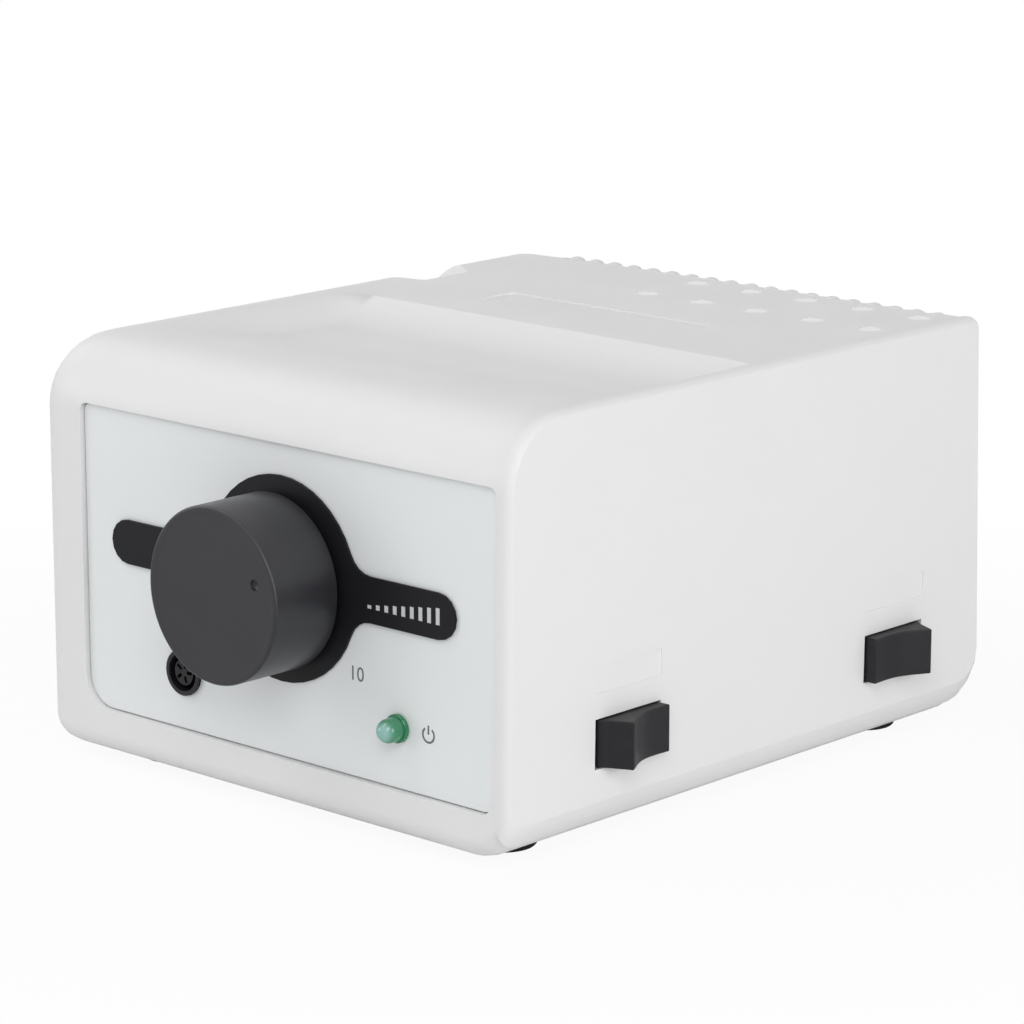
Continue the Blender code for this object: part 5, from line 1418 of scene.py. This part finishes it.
@dataclass
class RearSockets(Assembly):
    """The mains inlet, fuse holder, its cap and the foot control's jack."""

    edge: float = 0.25

    def build(self) -> None:
        """Builds and dresses what stands in the back wall."""
        for node, name, body in (
            ("mains_inlet", "inlet_shell", Body.BOX),
            ("fuse_holder", "fuse_holder_shell", Body.BOX),
            ("fuse_cap", "fuse_cap_shell", Body.FUSE_CAP),
            ("foot_control_jack", "jack_shell", Body.BOX),
        ):
            self.copy_of(node, name, BLACK_NYLON, body, self.edge)


def dress_frame(frame: dict) -> None:
    """Gives every node that the frame carries over its finish.
    """
    slots = {entry["node"]: entry["material_slot"] for entry in frame["record"]["subparts"]}
    for name, node in frame["nodes"].items():
        for slot in node.material_slots:
            slot.material = SLOT_FINISHES[slots[name]].material()


# Studio


def direction(azimuth: float, elevation: float) -> Vector:
    """The way from the box to a place round it.

    Args:
        azimuth: Radians from the front towards the right.
        elevation: Radians above the floor.

    Returns:
        A vector one metre long.
    """
    level = math.cos(elevation)
    return Vector((level * math.sin(azimuth), -level * math.cos(azimuth), math.sin(elevation)))


def aim(obj: bpy.types.Object, way: Vector) -> None:
    """Turns a lamp or a camera so that it faces along a vector."""
    obj.rotation_euler = way.to_track_quat("-Z", "Y").to_euler()


@dataclass(frozen=True)
class Softbox:
    """A square softbox that faces the box.

    Attributes:
        name: The lamp's name.
        azimuth: Degrees from the front towards the right.
        elevation: Degrees above the floor.
        size: Its side in metres.
        power: Watts.
    """

    name: str
    azimuth: float
    elevation: float
    size: float
    power: float

    def build(self, distance: float, target: Vector) -> None:
        """Adds the lamp.

        Args:
            distance: Metres from the frame's origin.
            target: What it faces.
        """
        data = bpy.data.lights.new(self.name, "AREA")
        data.shape = "SQUARE"
        data.size = self.size
        data.energy = self.power
        lamp = linked(self.name, data)
        way = direction(math.radians(self.azimuth), math.radians(self.elevation))
        lamp.location = way * distance
        aim(lamp, target - lamp.location)


@dataclass
class Studio:
    """The camera, the floor and the soft light."""

    world_level: float = 0.25
    world_seen: float = 1.0
    floor_size: float = 12.0
    floor_colour: str = "F4F4F4"
    floor_near: float = 0.12
    floor_far: float = 0.28
    floor_near_glow: float = 0.93
    lamp_distance: float = 1.8
    lamp_target: Vector = Vector((0, 0, 0.05))
    lamps: tuple[Softbox, ...] = (
        Softbox("front_left_softbox", -40, 55, 0.9, 5.6),
        Softbox("front_right_softbox", 40, 35, 0.9, 10.5),
        Softbox("low_left_softbox", -50, 14, 0.8, 5.0),
        Softbox("right_softbox", 90, 15, 0.9, 11.2),
        Softbox("left_softbox", -90, 35, 1.0, 4.0),
    )

    def build(self) -> None:
        """Sets up everything that isn't part of the box."""
        self.add_camera()
        self.add_floor()
        self.light_world()
        for lamp in self.lamps:
            lamp.build(self.lamp_distance, self.lamp_target)

    def add_camera(self) -> None:
        """The camera at the photograph's angle."""
        data = bpy.data.cameras.new("camera")
        data.sensor_width = CAMERA_SENSOR
        data.lens = CAMERA_LENS
        data.clip_start = CAMERA_NEAR
        data.clip_end = CAMERA_FAR
        camera = linked("camera", data)
        camera.location = CAMERA_PLACE
        aim(camera, -direction(CAMERA_AZIMUTH, CAMERA_ELEVATION))
        bpy.context.scene.camera = camera

    def add_floor(self) -> None:
        """A white floor that keeps a soft shadow near the box and is pure white further off."""
        bpy.ops.mesh.primitive_plane_add(size=self.floor_size, location=(0, 0, 0))
        floor = made("studio_floor")
        material = bpy.data.materials.new("white_paper")
        material.use_nodes = True
        nodes = Nodes(material.node_tree)
        nodes.tree.nodes.clear()
        paper = nodes.add("BsdfDiffuse", {"Color": linear(self.floor_colour)})
        glow = nodes.add("Emission", {"Color": WHITE})
        away = nodes.add("VectorMath", {"operation": "LENGTH"}, {0: nodes.place()})
        settings = {
            "interpolation_type": "SMOOTHSTEP",
            "From Min": self.floor_near,
            "From Max": self.floor_far,
            "To Min": self.floor_near_glow,
            "To Max": 1.0,
        }
        fade = nodes.spread(away.outputs["Value"], settings)
        path = nodes.add("LightPath")
        links = {0: path.outputs["Is Camera Ray"], 1: fade}
        seen = nodes.add("Math", {"operation": "MULTIPLY"}, links)
        links = {0: seen.outputs[0], 1: paper.outputs[0], 2: glow.outputs[0]}
        mix = nodes.add("MixShader", {}, links)
        nodes.add("OutputMaterial", {}, {"Surface": mix.outputs[0]})
        floor.data.materials.append(material)

    def light_world(self) -> None:
        """An even pale room, seen as white by the camera and in glass and metal."""
        world = bpy.data.worlds.new("studio")
        bpy.context.scene.world = world
        world.use_nodes = True
        nodes = Nodes(world.node_tree)
        nodes.tree.nodes.clear()
        path = nodes.add("LightPath")
        seen = path.outputs["Is Camera Ray"]
        for ray in ("Is Transmission Ray", "Is Glossy Ray"):
            links = {0: seen, 1: path.outputs[ray]}
            seen = nodes.add("Math", {"operation": "MAXIMUM"}, links).outputs[0]
        strength = nodes.spread(seen, {"To Min": self.world_level, "To Max": self.world_seen})
        back = nodes.add("Background", {"Color": WHITE}, {"Strength": strength})
        nodes.add("OutputWorld", {}, {"Surface": back.outputs[0]})


def main() -> None:
    """Loads the frame, builds each sub-assembly round it and sets up the studio."""
    logging.basicConfig(level=logging.INFO, format="%(message)s")
    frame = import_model()
    bpy.context.scene.view_settings.view_transform = "Standard"
    place = Place.from_frame()
    nodes = frame["nodes"]
    dress_frame(frame)
    assemblies = (
        Housing(place, nodes),
        FrontPanel(place, nodes),
        SpeedKnob(place, nodes),
        PowerLight(place, nodes),
        MotorSocket(place, nodes),
        Rocker(place, nodes, "front", Body.FRONT_ROCKER, FRONT_ROCKER_Y),
        Rocker(place, nodes, "rear", Body.REAR_ROCKER, REAR_ROCKER_Y, -Rocker.tilt),
        Feet(place, nodes),
        RearSockets(place, nodes),
    )
    for assembly in assemblies:
        LOG.info("building %s", type(assembly).__name__)
        assembly.build()
    Studio().build()


if __name__ == "__main__":
    main()
